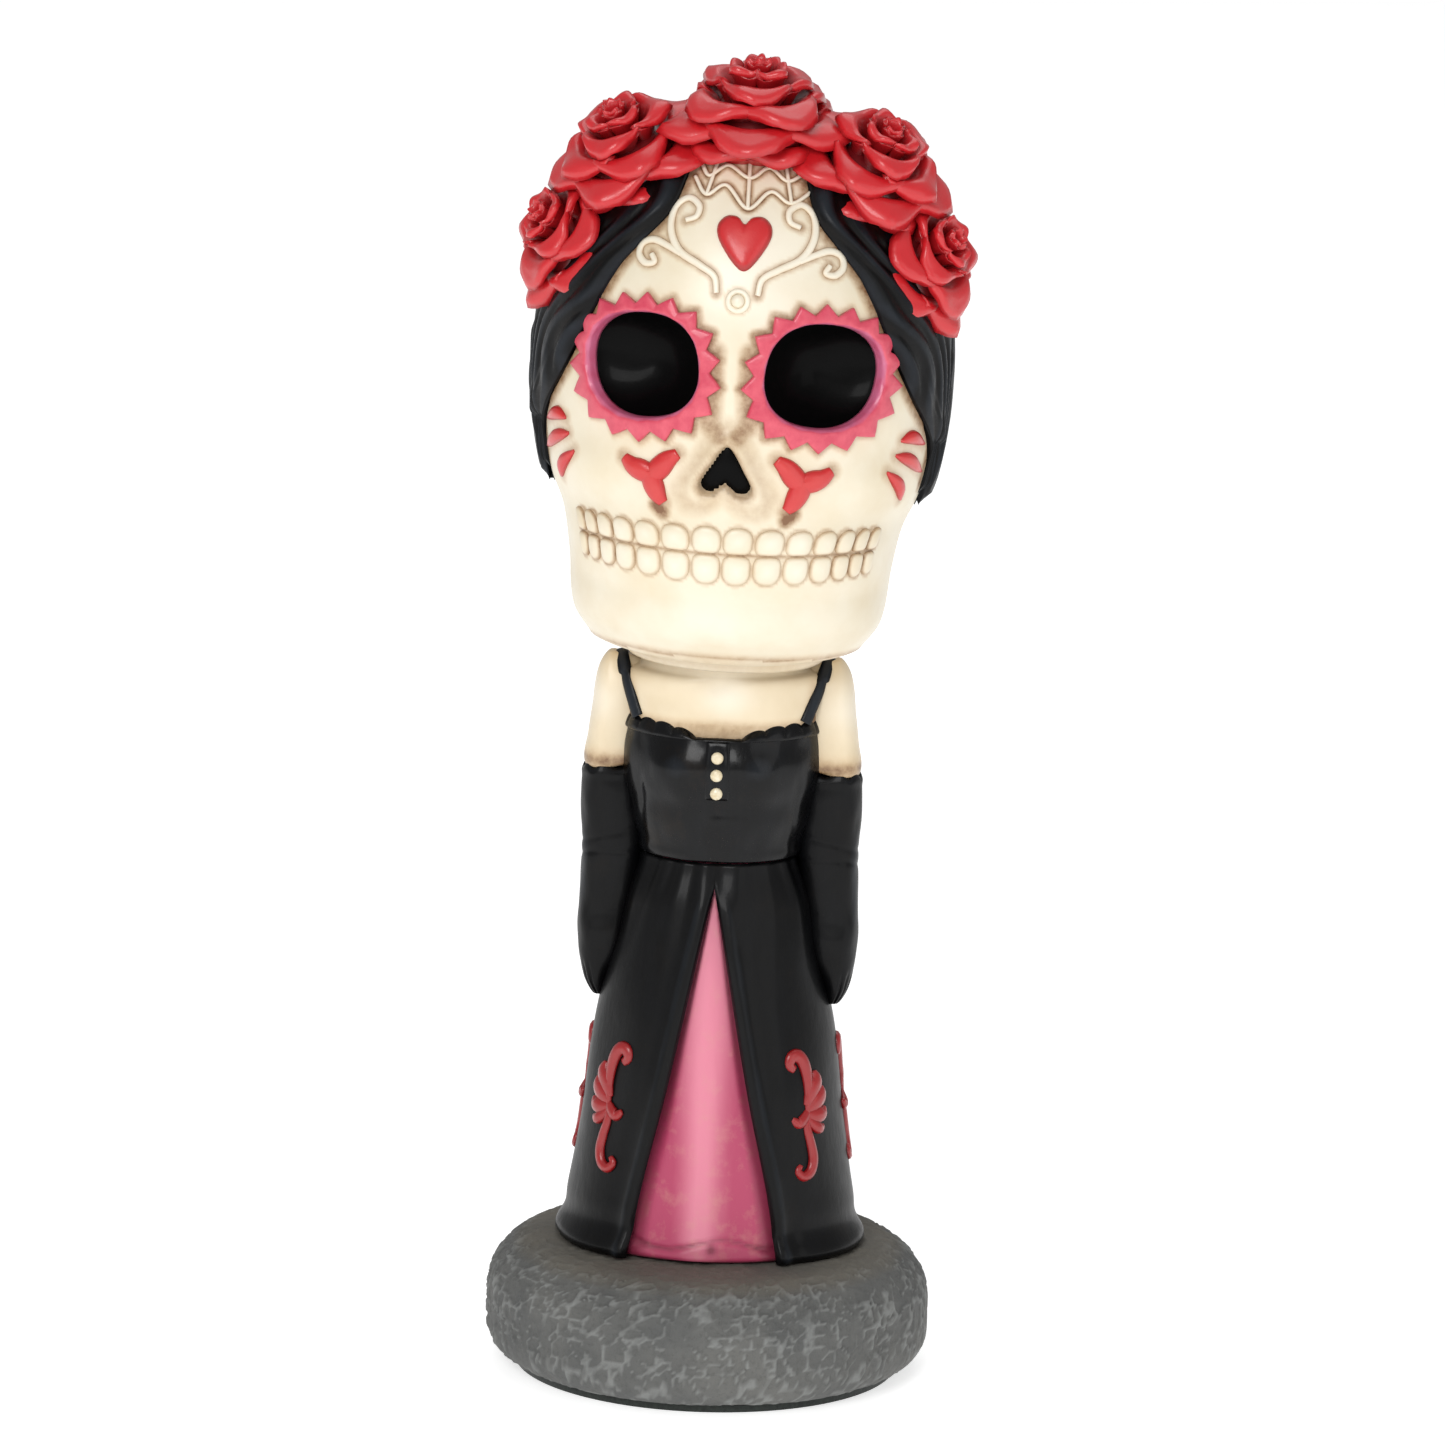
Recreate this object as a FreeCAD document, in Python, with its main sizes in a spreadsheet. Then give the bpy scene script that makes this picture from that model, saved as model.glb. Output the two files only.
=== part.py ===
"""Nodding-head catrina figure: a hollow sugar-skull head on a spring, over a dressed body on a stone base.

Millimetres, +Z up, front towards -Y. The origin is the middle of the felt pad's underside.
The head and all that sits on it is modelled about the spring's pivot, then placed there with its lean.
"""
import FreeCAD, Part
import Sketcher
import os

doc = FreeCAD.newDocument("catrina")

# Driving dimensions. Each has a name of its own in the spreadsheet.
SIZES = {
    # clearances
    "glue_gap": 0.1,            # between pieces that are glued together
    # foot
    "felt_radius": 28.0,
    "felt_thick": 1.0,
    "base_radius": 32.5,
    "base_tall": 18.0,
    "base_top_round": 6.5,
    "base_foot_round": 4.3,
    "dowel_radius": 3.0,
    "dowel_sunk": 12.0,         # length of the dowel inside the base
    "dowel_in_bodice": 8.0,     # and above the waist
    # skirts
    "skirt_tall": 58.0,
    "hem_half_wide": 22.7,
    "hem_half_deep": 19.5,
    "overskirt_wall": 1.7,
    "slit_half_wide": 11.3,
    "slit_tall": 54.5,
    # bodice
    "bodice_tall": 18.6,
    "bodice_half_wide": 14.9,
    "bodice_half_deep": 12.6,
    "lace_tall": 2.0,
    "lace_wall": 0.4,
    "placket_half_wide": 1.4,
    "placket_tall": 8.6,
    "placket_thick": 0.5,
    "button_radius": 0.85,
    "button_thick": 0.6,
    "button_step": 2.55,
    # bust and neck
    "bust_inset_wide": 0.7,     # bust's sides inside the bodice's widest outline
    "bust_inset_deep": 2.2,     # and its front and back
    "bust_sunk": 7.6,           # depth of the bust's plug inside the bodice
    "bust_tall": 13.4,          # from the bodice's top to the neck's top
    # arms, gloves and straps
    "arm_beyond": 2.3,          # middle of the arm outside the bodice's widest outline
    "arm_half_wide": 2.8,
    "arm_half_deep": 3.6,
    "arm_tall": 15.8,
    "glove_tall": 34.2,
    "glove_half_wide": 3.3,
    "glove_half_deep": 4.0,
    "glove_top_below": 6.6,     # glove's top edge below the bodice's top edge
    "strap_half_wide": 0.9,
    "strap_top_inset": 1.0,     # middle of the strap on the shoulder, inside the arm's middle
    "strap_foot_inset": 2.9,    # and where it meets the lace, inside the bodice's widest outline
    "strap_thick": 0.5,
    # spring and its seats
    "wire_radius": 0.5,
    "coil_radius": 4.5,
    "well_radius": 6.5,
    "well_deep": 11.0,
    "seat_thick": 1.2,
    "seat_boss_tall": 3.0,
    "boss_radius": 3.5,
    "coil_gap": 0.2,            # between a coil's end turn and its seat
    "dead_turn_step": 1.1,
    # head
    "pivot_below": 1.0,         # pivot below the neck's top
    "head_lean": 1.7,           # degrees, towards +X
    "head_low": 1.0,            # underside of the jaw above the pivot
    "head_tall": 77.0,
    "head_half_wide": 28.4,
    "head_half_deep": 27.2,
    "head_wall": 3.0,
    "collar_radius": 14.6,
    "collar_wall": 1.1,
    "collar_below": 2.0,        # collar's rim below the pivot
    "diaphragm_z": 11.0,
    "diaphragm_thick": 2.5,
    # face
    "relief": 1.0,              # how far the face's raised pieces stand out
    "eye_out": 12.5,
    "eye_z": 43.1,
    "socket_radius": 8.0,
    "socket_deep": 9.5,
    "ring_radius": 9.4,         # circle that the ring's points stand on
    "ring_point_radius": 1.3,
    "nose_z": 29.6,
    "nose_size": 3.3,
    "nose_inset": 1.2,
    "bite_z": 17.8,
    "tooth_upper_tall": 3.4,
    "tooth_lower_tall": 4.2,
    "tooth_wide": 3.6,
    "tooth_step": 8.9,          # degrees round the jaw
    "tooth_gap": 0.15,
    "heart_z": 62.0,
    "heart_size": 4.1,
    "pearl_z": 54.0,
    "pearl_ring_radius": 1.6,
    "pearl_ring_wire": 0.35,
    "pearl_radius": 0.85,
    "cheek_out": 11.0,
    "cheek_z": 27.6,
    "cheek_lobe_radius": 1.7,
    "cheek_lobe_out": 2.3,
    "petal_side": 0.8697183,    # shares of the head's half width
    "petal_front": 0.4044118,   # and half depth
    "petal_z": 30.8,
    "petal_step": 3.0,
    # hair and flowers
    "hair_thick": 2.4,
    "hair_part_y": -3.0,
    "hair_nape_z": 22.0,
    "hair_side_z": 24.0,
    "rose_gap": 0.3,            # between neighbouring roses
    "rose_centre_radius": 12.0,
    "rose_upper_radius": 11.2,
    "rose_lower_radius": 10.0,
    "rose_upper_inset": 11.2,   # roses' middles inside the head's widest outline
    "rose_lower_inset": 2.8,
    "rose_centre_back": 16.7,   # behind the head's front
    "rose_upper_back": 16.7,
    "rose_lower_back": 18.7,
    "rose_centre_below": 0.2,   # and below its crown
    "rose_upper_below": 7.0,
    "rose_lower_below": 20.6,
    "rose_centre_tilt": 20.0,   # degrees forward from facing up
    "rose_upper_tilt": 44.0,
    "rose_lower_tilt": 66.0,
    "rose_upper_lean": 38.0,    # and degrees round to the side
    "rose_lower_lean": 56.0,
    # skirt ornaments
    "scroll_above_hem": 21.3,
    "scroll_half_tall": 8.9,
    "scroll_hook_radius": 1.7,
    "scroll_stroke": 1.0,
    "scroll_leaf_radius": 2.0,
    "scroll_thick": 0.8,
}

sheet = doc.addObject("Spreadsheet::Sheet", "sizes")
for row, (alias, value) in enumerate(SIZES.items(), start=1):
    sheet.set(f"A{row}", alias)
    sheet.set(f"B{row}", str(value))
    sheet.setAlias(f"B{row}", alias)
doc.recompute()

# Outlines, as shares of a driving size: each ring is (height, half width, half depth, centre from the axis).
SKIRT_RINGS = ((0, 1, 1, 0), (0.11, 0.935, 0.935, 0), (0.24, 0.885, 0.885, 0), (0.43, 0.828, 0.828, 0),
               (0.57, 0.771, 0.771, 0), (0.74, 0.678, 0.69, 0), (1, 0.537, 0.56, 0))
BODICE_RINGS = ((0, 0.87, 0.89, 0), (0.35, 0.92, 0.95, 0), (0.72, 1, 1, 0), (1, 0.97, 0.93, 0))
BUST_RINGS = ((0, 0.9, 0.97, 0), (0.08, 0.93, 0.98, 0), (0.36, 0.99, 1, 0), (0.6, 1, 0.98, 0),
              (0.69, 0.94, 0.98, 0), (0.79, 0.86, 0.99, 0), (1, 0.75, 1, 0))
HEAD_RINGS = ((0, 0.69, 0.57, -0.11), (0.05, 0.782, 0.7, -0.09), (0.152, 0.82, 0.827, -0.055),
              (0.228, 0.859, 0.89, -0.037), (0.291, 0.93, 0.934, -0.018), (0.405, 0.986, 0.978, 0),
              (0.544, 1, 1, 0.01), (0.684, 0.947, 0.97, 0.02), (0.81, 0.803, 0.838, 0.03),
              (0.911, 0.592, 0.625, 0.03), (0.975, 0.359, 0.386, 0.03), (1, 0.17, 0.18, 0.03))
ARM_RINGS = ((0, 0.92, 0.92, 0.01), (0.31, 0.93, 0.95, -0.01), (0.57, 1, 1, -0.05),
             (0.79, 0.86, 0.93, -0.06), (0.93, 0.46, 0.6, -0.035), (1, 0.21, 0.3, -0.04))
GLOVE_RINGS = ((0, 0.3, 0.3, -0.01), (0.07, 0.5, 0.6, 0.03), (0.25, 0.72, 0.85, 0.05),
               (0.42, 0.85, 0.8, 0.02), (0.65, 1, 0.9, -0.015), (1, 0.8, 0.83, 0.01))
# counts: points on each eye ring, and teeth in each row on each side of the middle
RING_POINTS = 21
SIDE_TEETH = 7
# hairline on the left of the face: (height, distance from the middle), as shares of the head
HAIRLINE = ((0.29, 1.0), (0.342, 0.993), (0.43, 0.951), (0.494, 0.88), (0.57, 0.789), (0.646, 0.704),
            (0.722, 0.6), (0.772, 0.493), (0.835, 0.352), (0.93, 0.264))


def cell(alias):
    """A driving dimension as an expression."""
    return f"sizes.{alias}"


def bind(thing, **expressions):
    """Ties properties of an object to expressions on the spreadsheet."""
    for name, expression in expressions.items():
        thing.setExpression(name, expression)


def place(thing, x="0", y="0", z="0"):
    """Ties an object's place to expressions."""
    for axis, expression in zip("xyz", (x, y, z)):
        thing.setExpression(f"Placement.Base.{axis}", expression)
    return thing


def turn(thing, axis, degrees):
    """Turns an object about an axis through its own origin."""
    thing.Placement.Rotation = FreeCAD.Rotation(FreeCAD.Vector(*axis), degrees)
    return thing


def number(expression):
    """The value of an expression now."""
    return float(sheet.evalExpression(expression))


def loft(name, rings, low, tall, wide, deep, grow="0", across="0", over=None):
    """A smooth solid through level ellipses; grow moves its surface outwards, and over its ends.

    With across, the rings stand that far to the left, and their last share moves them sideways, not forwards.
    """
    over = grow if over is None else over
    sections = []
    last = len(rings) - 1
    for count, (height, width, depth, middle) in enumerate(rings):
        ring = doc.addObject("Part::Ellipse", f"{name}_ring{count}")
        half_wide = f"{wide} * {width} + ({grow})"
        half_deep = f"{deep} * {depth} + ({grow})"
        end = {0: f" - ({over})", last: f" + ({over})"}.get(count, "")
        deeper = number(half_deep) > number(half_wide)
        longer, shorter = (half_deep, half_wide) if deeper else (half_wide, half_deep)
        bind(ring, MajorRadius=longer, MinorRadius=shorter)
        turn(ring, (0, 0, 1), 90 if deeper else 0)
        if across == "0":
            place(ring, y=f"{deep} * {middle}", z=f"{low} + ({tall}) * {height}{end}")
        else:
            place(ring, x=f"-{across} * {1 + middle}", z=f"{low} + ({tall}) * {height}{end}")
        sections.append(ring)
    solid = doc.addObject("Part::Loft", name)
    solid.Sections = sections
    solid.Solid = True
    solid.Ruled = False
    return solid


def cut(name, base, *tools):
    """The base with each tool taken away in turn."""
    for count, tool in enumerate(tools):
        less = doc.addObject("Part::Cut", name if count == len(tools) - 1 else f"{name}_less{count}")
        less.Base = base
        less.Tool = tool
        base = less
    return base


def common(name, base, tool):
    """What two solids share."""
    shared = doc.addObject("Part::Common", name)
    shared.Base = base
    shared.Tool = tool
    return shared


def fuse(name, *shapes):
    """Several solids as one."""
    joined = doc.addObject("Part::MultiFuse", name)
    joined.Shapes = list(shapes)
    return joined


def group(name, *shapes):
    """Several separate solids in one node."""
    together = doc.addObject("Part::Compound", name)
    together.Links = list(shapes)
    return together


def rod(name, radius, height, x="0", y="0", z="0", forward=False):
    """A cylinder standing up from its place, or running forwards along -Y from it."""
    cylinder = doc.addObject("Part::Cylinder", name)
    bind(cylinder, Radius=radius, Height=height)
    if forward:
        turn(cylinder, (1, 0, 0), 90)
    return place(cylinder, x, y, z)


def block(name, length, width, height, x="0", y="0", z="0"):
    """A box from its low corner."""
    box = doc.addObject("Part::Box", name)
    bind(box, Length=length, Width=width, Height=height)
    return place(box, x, y, z)


def plane_of(body, role):
    """One of a body's own origin planes."""
    return next(plane for plane in body.Origin.OriginFeatures if plane.Role == role)


def polygon_sketch(body, role, corners):
    """A closed outline on a body's plane; every corner's two distances from the origin are expressions."""
    sketch = body.newObject("Sketcher::SketchObject", f"{body.Name}_outline")
    sketch.AttachmentSupport = (plane_of(body, role), "")
    sketch.MapMode = "FlatFace"
    spots = [FreeCAD.Vector(number(x), number(y), 0) for x, y in corners]
    count = len(spots)
    for index, spot in enumerate(spots):
        sketch.addGeometry(Part.LineSegment(spot, spots[(index + 1) % count]), False)
    for index in range(count):
        sketch.addConstraint(Sketcher.Constraint("Coincident", index, 2, (index + 1) % count, 1))
    for index, (x, y) in enumerate(corners):
        for kind, expression in (("DistanceX", x), ("DistanceY", y)):
            row = sketch.addConstraint(Sketcher.Constraint(kind, -1, 1, index, 1, number(expression)))
            sketch.setExpression(f"Constraints[{row}]", expression)
    return sketch


def upright_body(name, corners, length):
    """An upright outline (x, z) given depth equally to the front and the back."""
    body = doc.addObject("PartDesign::Body", name)
    pad = body.newObject("PartDesign::Pad", f"{name}_pad")
    pad.Profile = polygon_sketch(body, "XZ_Plane", corners)
    pad.Midplane = True
    bind(pad, Length=length)
    return body


def standing_body(name, corners, low, height):
    """A plan outline (x, y) raised from a level."""
    body = doc.addObject("PartDesign::Body", name)
    pad = body.newObject("PartDesign::Pad", f"{name}_pad")
    pad.Profile = polygon_sketch(body, "XY_Plane", corners)
    bind(pad, Length=height)
    return place(body, z=low)


def turned_body(name, corners):
    """A half outline (radius, height) turned about +Z."""
    body = doc.addObject("PartDesign::Body", name)
    sketch = polygon_sketch(body, "XZ_Plane", corners)
    revolution = body.newObject("PartDesign::Revolution", f"{name}_turned")
    revolution.Profile = sketch
    revolution.ReferenceAxis = (sketch, ["V_Axis"])
    revolution.Angle = 360
    return body


def round_edges(body, level, radius):
    """A fillet on a turned body's outer edge at one height."""
    doc.recompute()
    height = number(level)
    edges = [(edge.Length, index) for index, edge in enumerate(body.Shape.Edges, start=1)
             if abs(edge.BoundBox.ZMax - height) < 1e-6 and edge.BoundBox.ZLength < 1e-6]
    outermost = max(edges)[1]
    before = body.Tip
    fillet = body.newObject("PartDesign::Fillet", f"{body.Name}_round{len(body.Group)}")
    fillet.Base = (before, [f"Edge{outermost}"])
    bind(fillet, Radius=radius)


NODES = {}


def node(name, thing, on_head=False):
    """Names a finished piece; one on the head is carried to the pivot and leans with it."""
    thing.Label = name
    if on_head:
        thing.Placement.Rotation = FreeCAD.Rotation(FreeCAD.Vector(0, 1, 0), number("sizes.head_lean"))
        bind(thing, **{"Placement.Rotation.Angle": "sizes.head_lean"})
        place(thing, z=pivot_z)
    NODES[name] = thing


def pair(name, left, on_head=False):
    """A piece on the viewer's left, which is -X, and its mirror image on the right."""
    right = doc.addObject("Part::Mirroring", f"{name}_mirrored")
    right.Source = left
    right.Normal = FreeCAD.Vector(1, 0, 0)
    if on_head:
        bind(right, **{"Normal.x": "cos(sizes.head_lean)", "Normal.z": "-sin(sizes.head_lean)",
                       "Base.z": pivot_z})
    node(f"{name}_left", left, on_head)
    node(f"{name}_right", right)


gap = cell("glue_gap")

# --- levels that several pieces share
stand_z = "(sizes.felt_thick + sizes.base_tall)"
waist_z = f"({stand_z} + sizes.skirt_tall)"
bodice_top_z = f"({waist_z} + sizes.bodice_tall)"
neck_top_z = f"({bodice_top_z} + sizes.bust_tall)"
pivot_z = f"({neck_top_z} - sizes.pivot_below)"
crown = "(sizes.head_low + sizes.head_tall)"
bust_half_wide = "(sizes.bodice_half_wide - sizes.bust_inset_wide)"
bust_half_deep = "(sizes.bodice_half_deep - sizes.bust_inset_deep)"
arm_out = "(sizes.bodice_half_wide + sizes.arm_beyond)"
scroll_z = f"({stand_z} + sizes.scroll_above_hem)"
well_z = f"({neck_top_z} - sizes.well_deep)"
dowel_low_z = f"({stand_z} - sizes.dowel_sunk)"
dowel_long = "(sizes.dowel_sunk + sizes.skirt_tall + sizes.dowel_in_bodice)"


# --- surfaces that pieces are made from or fitted to
def skirt_loft(name, grow="0", over=None):
    return loft(name, SKIRT_RINGS, stand_z, cell("skirt_tall"), cell("hem_half_wide"),
                cell("hem_half_deep"), grow, over=over)


def bodice_loft(name, grow="0"):
    return loft(name, BODICE_RINGS, waist_z, cell("bodice_tall"), cell("bodice_half_wide"),
                cell("bodice_half_deep"), grow)


def bust_loft(name, grow="0"):
    return loft(name, BUST_RINGS, f"({bodice_top_z} - sizes.bust_sunk)",
                "sizes.bust_sunk + sizes.bust_tall", bust_half_wide, bust_half_deep, grow)


def arm_loft(name, grow="0"):
    return loft(name, ARM_RINGS, f"({bodice_top_z} - sizes.glove_top_below)", cell("arm_tall"),
                cell("arm_half_wide"), cell("arm_half_deep"), grow, arm_out)


def glove_loft(name, grow="0"):
    return loft(name, GLOVE_RINGS, f"({bodice_top_z} - sizes.glove_top_below - sizes.glove_tall)",
                cell("glove_tall"), cell("glove_half_wide"), cell("glove_half_deep"), grow, arm_out)


def head_loft(name, grow="0"):
    return loft(name, HEAD_RINGS, cell("head_low"), cell("head_tall"), cell("head_half_wide"),
                cell("head_half_deep"), grow)


# --- foot: felt pad, stone base and the dowel that locates the figure
felt = turned_body("felt", (("0", "0"), ("sizes.felt_radius", "0"),
                            ("sizes.felt_radius", "sizes.felt_thick"), ("0", "sizes.felt_thick")))
node("felt_pad", felt)

bore = f"(sizes.dowel_radius + {gap})"
bore_low = f"({dowel_low_z} - {gap})"
base = turned_body("base", (
    ("0", "sizes.felt_thick"), ("sizes.base_radius", "sizes.felt_thick"), ("sizes.base_radius", stand_z),
    (bore, stand_z), (bore, bore_low), ("0", bore_low)))
round_edges(base, stand_z, cell("base_top_round"))
round_edges(base, cell("felt_thick"), cell("base_foot_round"))
node("stone_base", base)

dowel = rod("dowel", cell("dowel_radius"), dowel_long, z=dowel_low_z)
node("armature_dowel", dowel)
dowel_bore = rod("dowel_bore", bore, f"{dowel_long} + 2 * {gap}", z=bore_low)

# --- skirts
skirt_outer = skirt_loft("skirt_outer")
skirt_gap = skirt_loft("skirt_gap", gap)
under_outer = skirt_loft("under_outer", f"-sizes.overskirt_wall - {gap}", "0")
under_gap = skirt_loft("under_gap", "-sizes.overskirt_wall", gap)
node("underskirt", cut("under", under_outer, dowel_bore))

slit = upright_body("slit", (
    ("-sizes.slit_half_wide", f"{stand_z} - 1"), ("sizes.slit_half_wide", f"{stand_z} - 1"),
    ("0", f"{stand_z} + sizes.slit_tall")), "2 * sizes.hem_half_deep + 2")
front_half = block("front_half", "4 * sizes.hem_half_wide", "2 * sizes.hem_half_deep",
                   "sizes.skirt_tall + 2", "-2 * sizes.hem_half_wide", "-2 * sizes.hem_half_deep",
                   f"{stand_z} - 1")
slit_front = common("slit_front", slit, front_half)
node("overskirt", cut("over", skirt_outer, under_gap, slit_front))

# --- bust with the spring's well, bodice, lace, placket and buttons
well = rod("well", cell("well_radius"), "sizes.well_deep + 1", z=well_z)
bust_outer = bust_loft("bust_outer")
bust_gap = bust_loft("bust_gap", gap)
node("bust", cut("bust_cut", bust_outer, well, dowel_bore))

bodice_outer = bodice_loft("bodice_outer")
bodice_gap = bodice_loft("bodice_gap", gap)
node("bodice", cut("bodice_cut", bodice_outer, bust_gap, dowel_bore))

lace_wide = f"(sizes.bodice_half_wide * {BODICE_RINGS[-1][1]} + sizes.lace_wall)"
lace_deep = f"(sizes.bodice_half_deep * {BODICE_RINGS[-1][2]} + sizes.lace_wall)"
BAND = ((0, 1, 1, 0), (1, 0.985, 0.985, 0))
lace_outer = loft("lace_outer", BAND, bodice_top_z, cell("lace_tall"), lace_wide, lace_deep)
lace_gap = loft("lace_gap", BAND, bodice_top_z, cell("lace_tall"), lace_wide, lace_deep, gap)
node("neckline_lace", cut("lace_cut", lace_outer, bust_gap))

placket_strip = block("placket_strip", "2 * sizes.placket_half_wide", "2 * sizes.bodice_half_deep",
                      "sizes.placket_tall", "-sizes.placket_half_wide", "-2 * sizes.bodice_half_deep",
                      f"{bodice_top_z} - sizes.placket_tall")
placket_outer = bodice_loft("placket_outer", cell("placket_thick"))
placket_flat = common("placket_flat", placket_strip, placket_outer)
node("button_placket", cut("placket_cut", placket_flat, bodice_gap))

button_outer = bodice_loft("button_outer", f"sizes.placket_thick + {gap} + sizes.button_thick")
button_seat = bodice_loft("button_seat", f"sizes.placket_thick + {gap}")
studs = []
for place_down in range(3):
    stud_z = f"{bodice_top_z} - sizes.button_step * {place_down + 1}"
    stud = rod(f"stud{place_down}", cell("button_radius"), "2 * sizes.bodice_half_deep", z=stud_z,
               forward=True)
    flat = common(f"stud_flat{place_down}", stud, button_outer)
    studs.append(cut(f"stud_cut{place_down}", flat, button_seat))
node("bodice_buttons", group("buttons", *studs))

# --- arms, gloves and straps
arm = arm_loft("arm")
pair("upper_arm", cut("arm_cut", arm, bust_gap, bodice_gap, lace_gap))
glove = glove_loft("glove")
pair("glove", cut("glove_cut", glove, bodice_gap, skirt_gap))

strap_low = f"({bodice_top_z} + sizes.lace_tall + {gap})"
strap_top_out = f"({arm_out} - sizes.strap_top_inset)"
strap_foot_out = "(sizes.bodice_half_wide - sizes.strap_foot_inset)"
strap_plan = standing_body("strap_plan", (
    (f"-{strap_top_out} - sizes.strap_half_wide", "0"),
    (f"-{strap_foot_out} - sizes.strap_half_wide", f"-{bust_half_deep}"),
    (f"-{strap_foot_out} + sizes.strap_half_wide", f"-{bust_half_deep}"),
    (f"-{strap_top_out} + sizes.strap_half_wide", "0"),
    (f"-{strap_foot_out} + sizes.strap_half_wide", bust_half_deep),
    (f"-{strap_foot_out} - sizes.strap_half_wide", bust_half_deep)), strap_low, cell("bust_tall"))
strap_skin = fuse("strap_skin", bust_gap, arm_loft("arm_gap", gap))
strap_over = fuse("strap_over", bust_loft("bust_over", f"{gap} + sizes.strap_thick"),
                  arm_loft("arm_over", f"{gap} + sizes.strap_thick"))
pair("strap", cut("strap_cut", common("strap_flat", strap_plan, strap_over), strap_skin))

# --- scrolls on the skirt: a hook at each end of a stem with a leaf at its middle
def scroll(name, turned):
    """One scroll, drawn in front of the figure and turned about +Z to its place on the skirt."""
    deep = "2 * sizes.hem_half_wide"
    hook = cell("scroll_hook_radius")
    pieces = []
    for end, way in (("top", 1), ("foot", -1)):
        hook_z = f"{scroll_z} + {way} * (sizes.scroll_half_tall - {hook})"
        ring = rod(f"{name}_{end}_ring", hook, deep, z=hook_z, forward=True)
        hole = rod(f"{name}_{end}_hole", f"{hook} - sizes.scroll_stroke", deep, z=hook_z, forward=True)
        pieces.append(cut(f"{name}_{end}", ring, hole))
    pieces.append(block(f"{name}_stem", cell("scroll_stroke"), deep,
                        f"2 * (sizes.scroll_half_tall - {hook})", f"-{hook}", f"-{deep}",
                        f"{scroll_z} - sizes.scroll_half_tall + {hook}"))
    pieces.append(rod(f"{name}_leaf", cell("scroll_leaf_radius"), deep, f"-{hook} / 2", "0", scroll_z,
                      forward=True))
    motif = fuse(f"{name}_motif", *pieces)
    turn(motif, (0, 0, 1), turned)
    return cut(f"{name}_cut", common(f"{name}_flat", motif, scroll_over), skirt_gap)


scroll_over = skirt_loft("scroll_over", f"{gap} + sizes.scroll_thick")
for where, turned in (("front", -50), ("side", -100), ("back", -148)):
    pair(f"skirt_scroll_{where}", scroll(f"scroll_{where}", turned))

# --- spring seats
seat_top_z = f"({well_z} + sizes.seat_thick)"
seat_low = turned_body("seat_low", (
    ("0", well_z), (f"sizes.well_radius - {gap}", well_z), (f"sizes.well_radius - {gap}", seat_top_z),
    ("sizes.boss_radius", seat_top_z), ("sizes.boss_radius", f"{seat_top_z} + sizes.seat_boss_tall"),
    ("0", f"{seat_top_z} + sizes.seat_boss_tall")))
node("spring_seat_lower", seat_low)

boss_up = rod("boss_up", cell("boss_radius"), "sizes.seat_boss_tall + sizes.diaphragm_thick",
              z="(sizes.diaphragm_z - sizes.seat_boss_tall)")
diaphragm_disc = rod("diaphragm_disc", cell("head_half_wide"), cell("diaphragm_thick"), z=cell("diaphragm_z"))
head_cavity = head_loft("head_cavity", "-sizes.head_wall")
cavity_gap = head_loft("cavity_gap", f"-sizes.head_wall - {gap}")
diaphragm = common("diaphragm", diaphragm_disc, cavity_gap)
node("spring_seat_upper", fuse("seat_upper", diaphragm, boss_up), on_head=True)

# --- coil spring, in the stretches that follow each way the head can move; each turn stands as a ring
coil_low = f"({well_z} + sizes.seat_thick + sizes.wire_radius + sizes.coil_gap)"
coil_high = f"({pivot_z} + sizes.diaphragm_z - sizes.wire_radius - sizes.coil_gap)"
turns_free = 6
free_step = f"(({coil_high} - {coil_low} - 2 * sizes.dead_turn_step) / {turns_free + 1})"


def coil_turns(name, *levels):
    """The turns of one stretch, at their heights."""
    turns = []
    for count, level in enumerate(levels):
        ring = doc.addObject("Part::Torus", f"{name}_turn{count}")
        bind(ring, Radius1=cell("coil_radius"), Radius2=cell("wire_radius"))
        turns.append(place(ring, z=level))
    node(name, group(name, *turns))


def free_level(count):
    """The height of a free turn, counted from the lower dead turns."""
    return f"{coil_low} + sizes.dead_turn_step + {free_step} * {count}"


coil_turns("spring_foot_turns", coil_low, f"{coil_low} + sizes.dead_turn_step")
for count, name in enumerate(("spring_lower_turns", "spring_middle_turns", "spring_upper_turns")):
    coil_turns(name, free_level(2 * count + 1), free_level(2 * count + 2))
coil_turns("spring_head_turns", f"{coil_high} - sizes.dead_turn_step", coil_high)

# --- skull: a hollow shell with a collar round the neck
skull_outer = head_loft("skull_outer")
skull_gap = head_loft("skull_gap", gap)
relief_over = head_loft("relief_over", f"{gap} + sizes.relief")
collar_low = "-sizes.collar_below"
collar_tall = "sizes.collar_below + sizes.head_low + sizes.head_wall"
collar = rod("collar", cell("collar_radius"), collar_tall, z=collar_low)
neck_hole = rod("neck_hole", "sizes.collar_radius - sizes.collar_wall", f"{collar_tall} + 3",
                z=f"{collar_low} - 1")
skull_solid = fuse("skull_solid", skull_outer, collar)
front_deep = "2 * sizes.head_half_deep"


def socket_hole(name, radius, side):
    """A round hole through the face."""
    return rod(name, radius, front_deep, f"{side} * sizes.eye_out", "0", cell("eye_z"), forward=True)


def heart(name, size, level, upside_down=False):
    """A heart through the face: a square on its corner with a round lobe on each upper side."""
    half = f"({size} / sqrt(2))"
    square = block(f"{name}_square", size, front_deep, size)
    square.Placement.Rotation = FreeCAD.Rotation(FreeCAD.Vector(0, 1, 0), -45)
    place(square, "0", f"-{front_deep}", f"-{half}")
    lobes = [rod(f"{name}_lobe{count}", f"{size} / 2", front_deep, f"{way} * {half} / 2", "0",
                 f"{half} / 2", forward=True) for count, way in enumerate((-1, 1))]
    whole = fuse(name, square, *lobes)
    turn(whole, (0, 1, 0), 180 if upside_down else 0)
    return place(whole, z=level)


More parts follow.
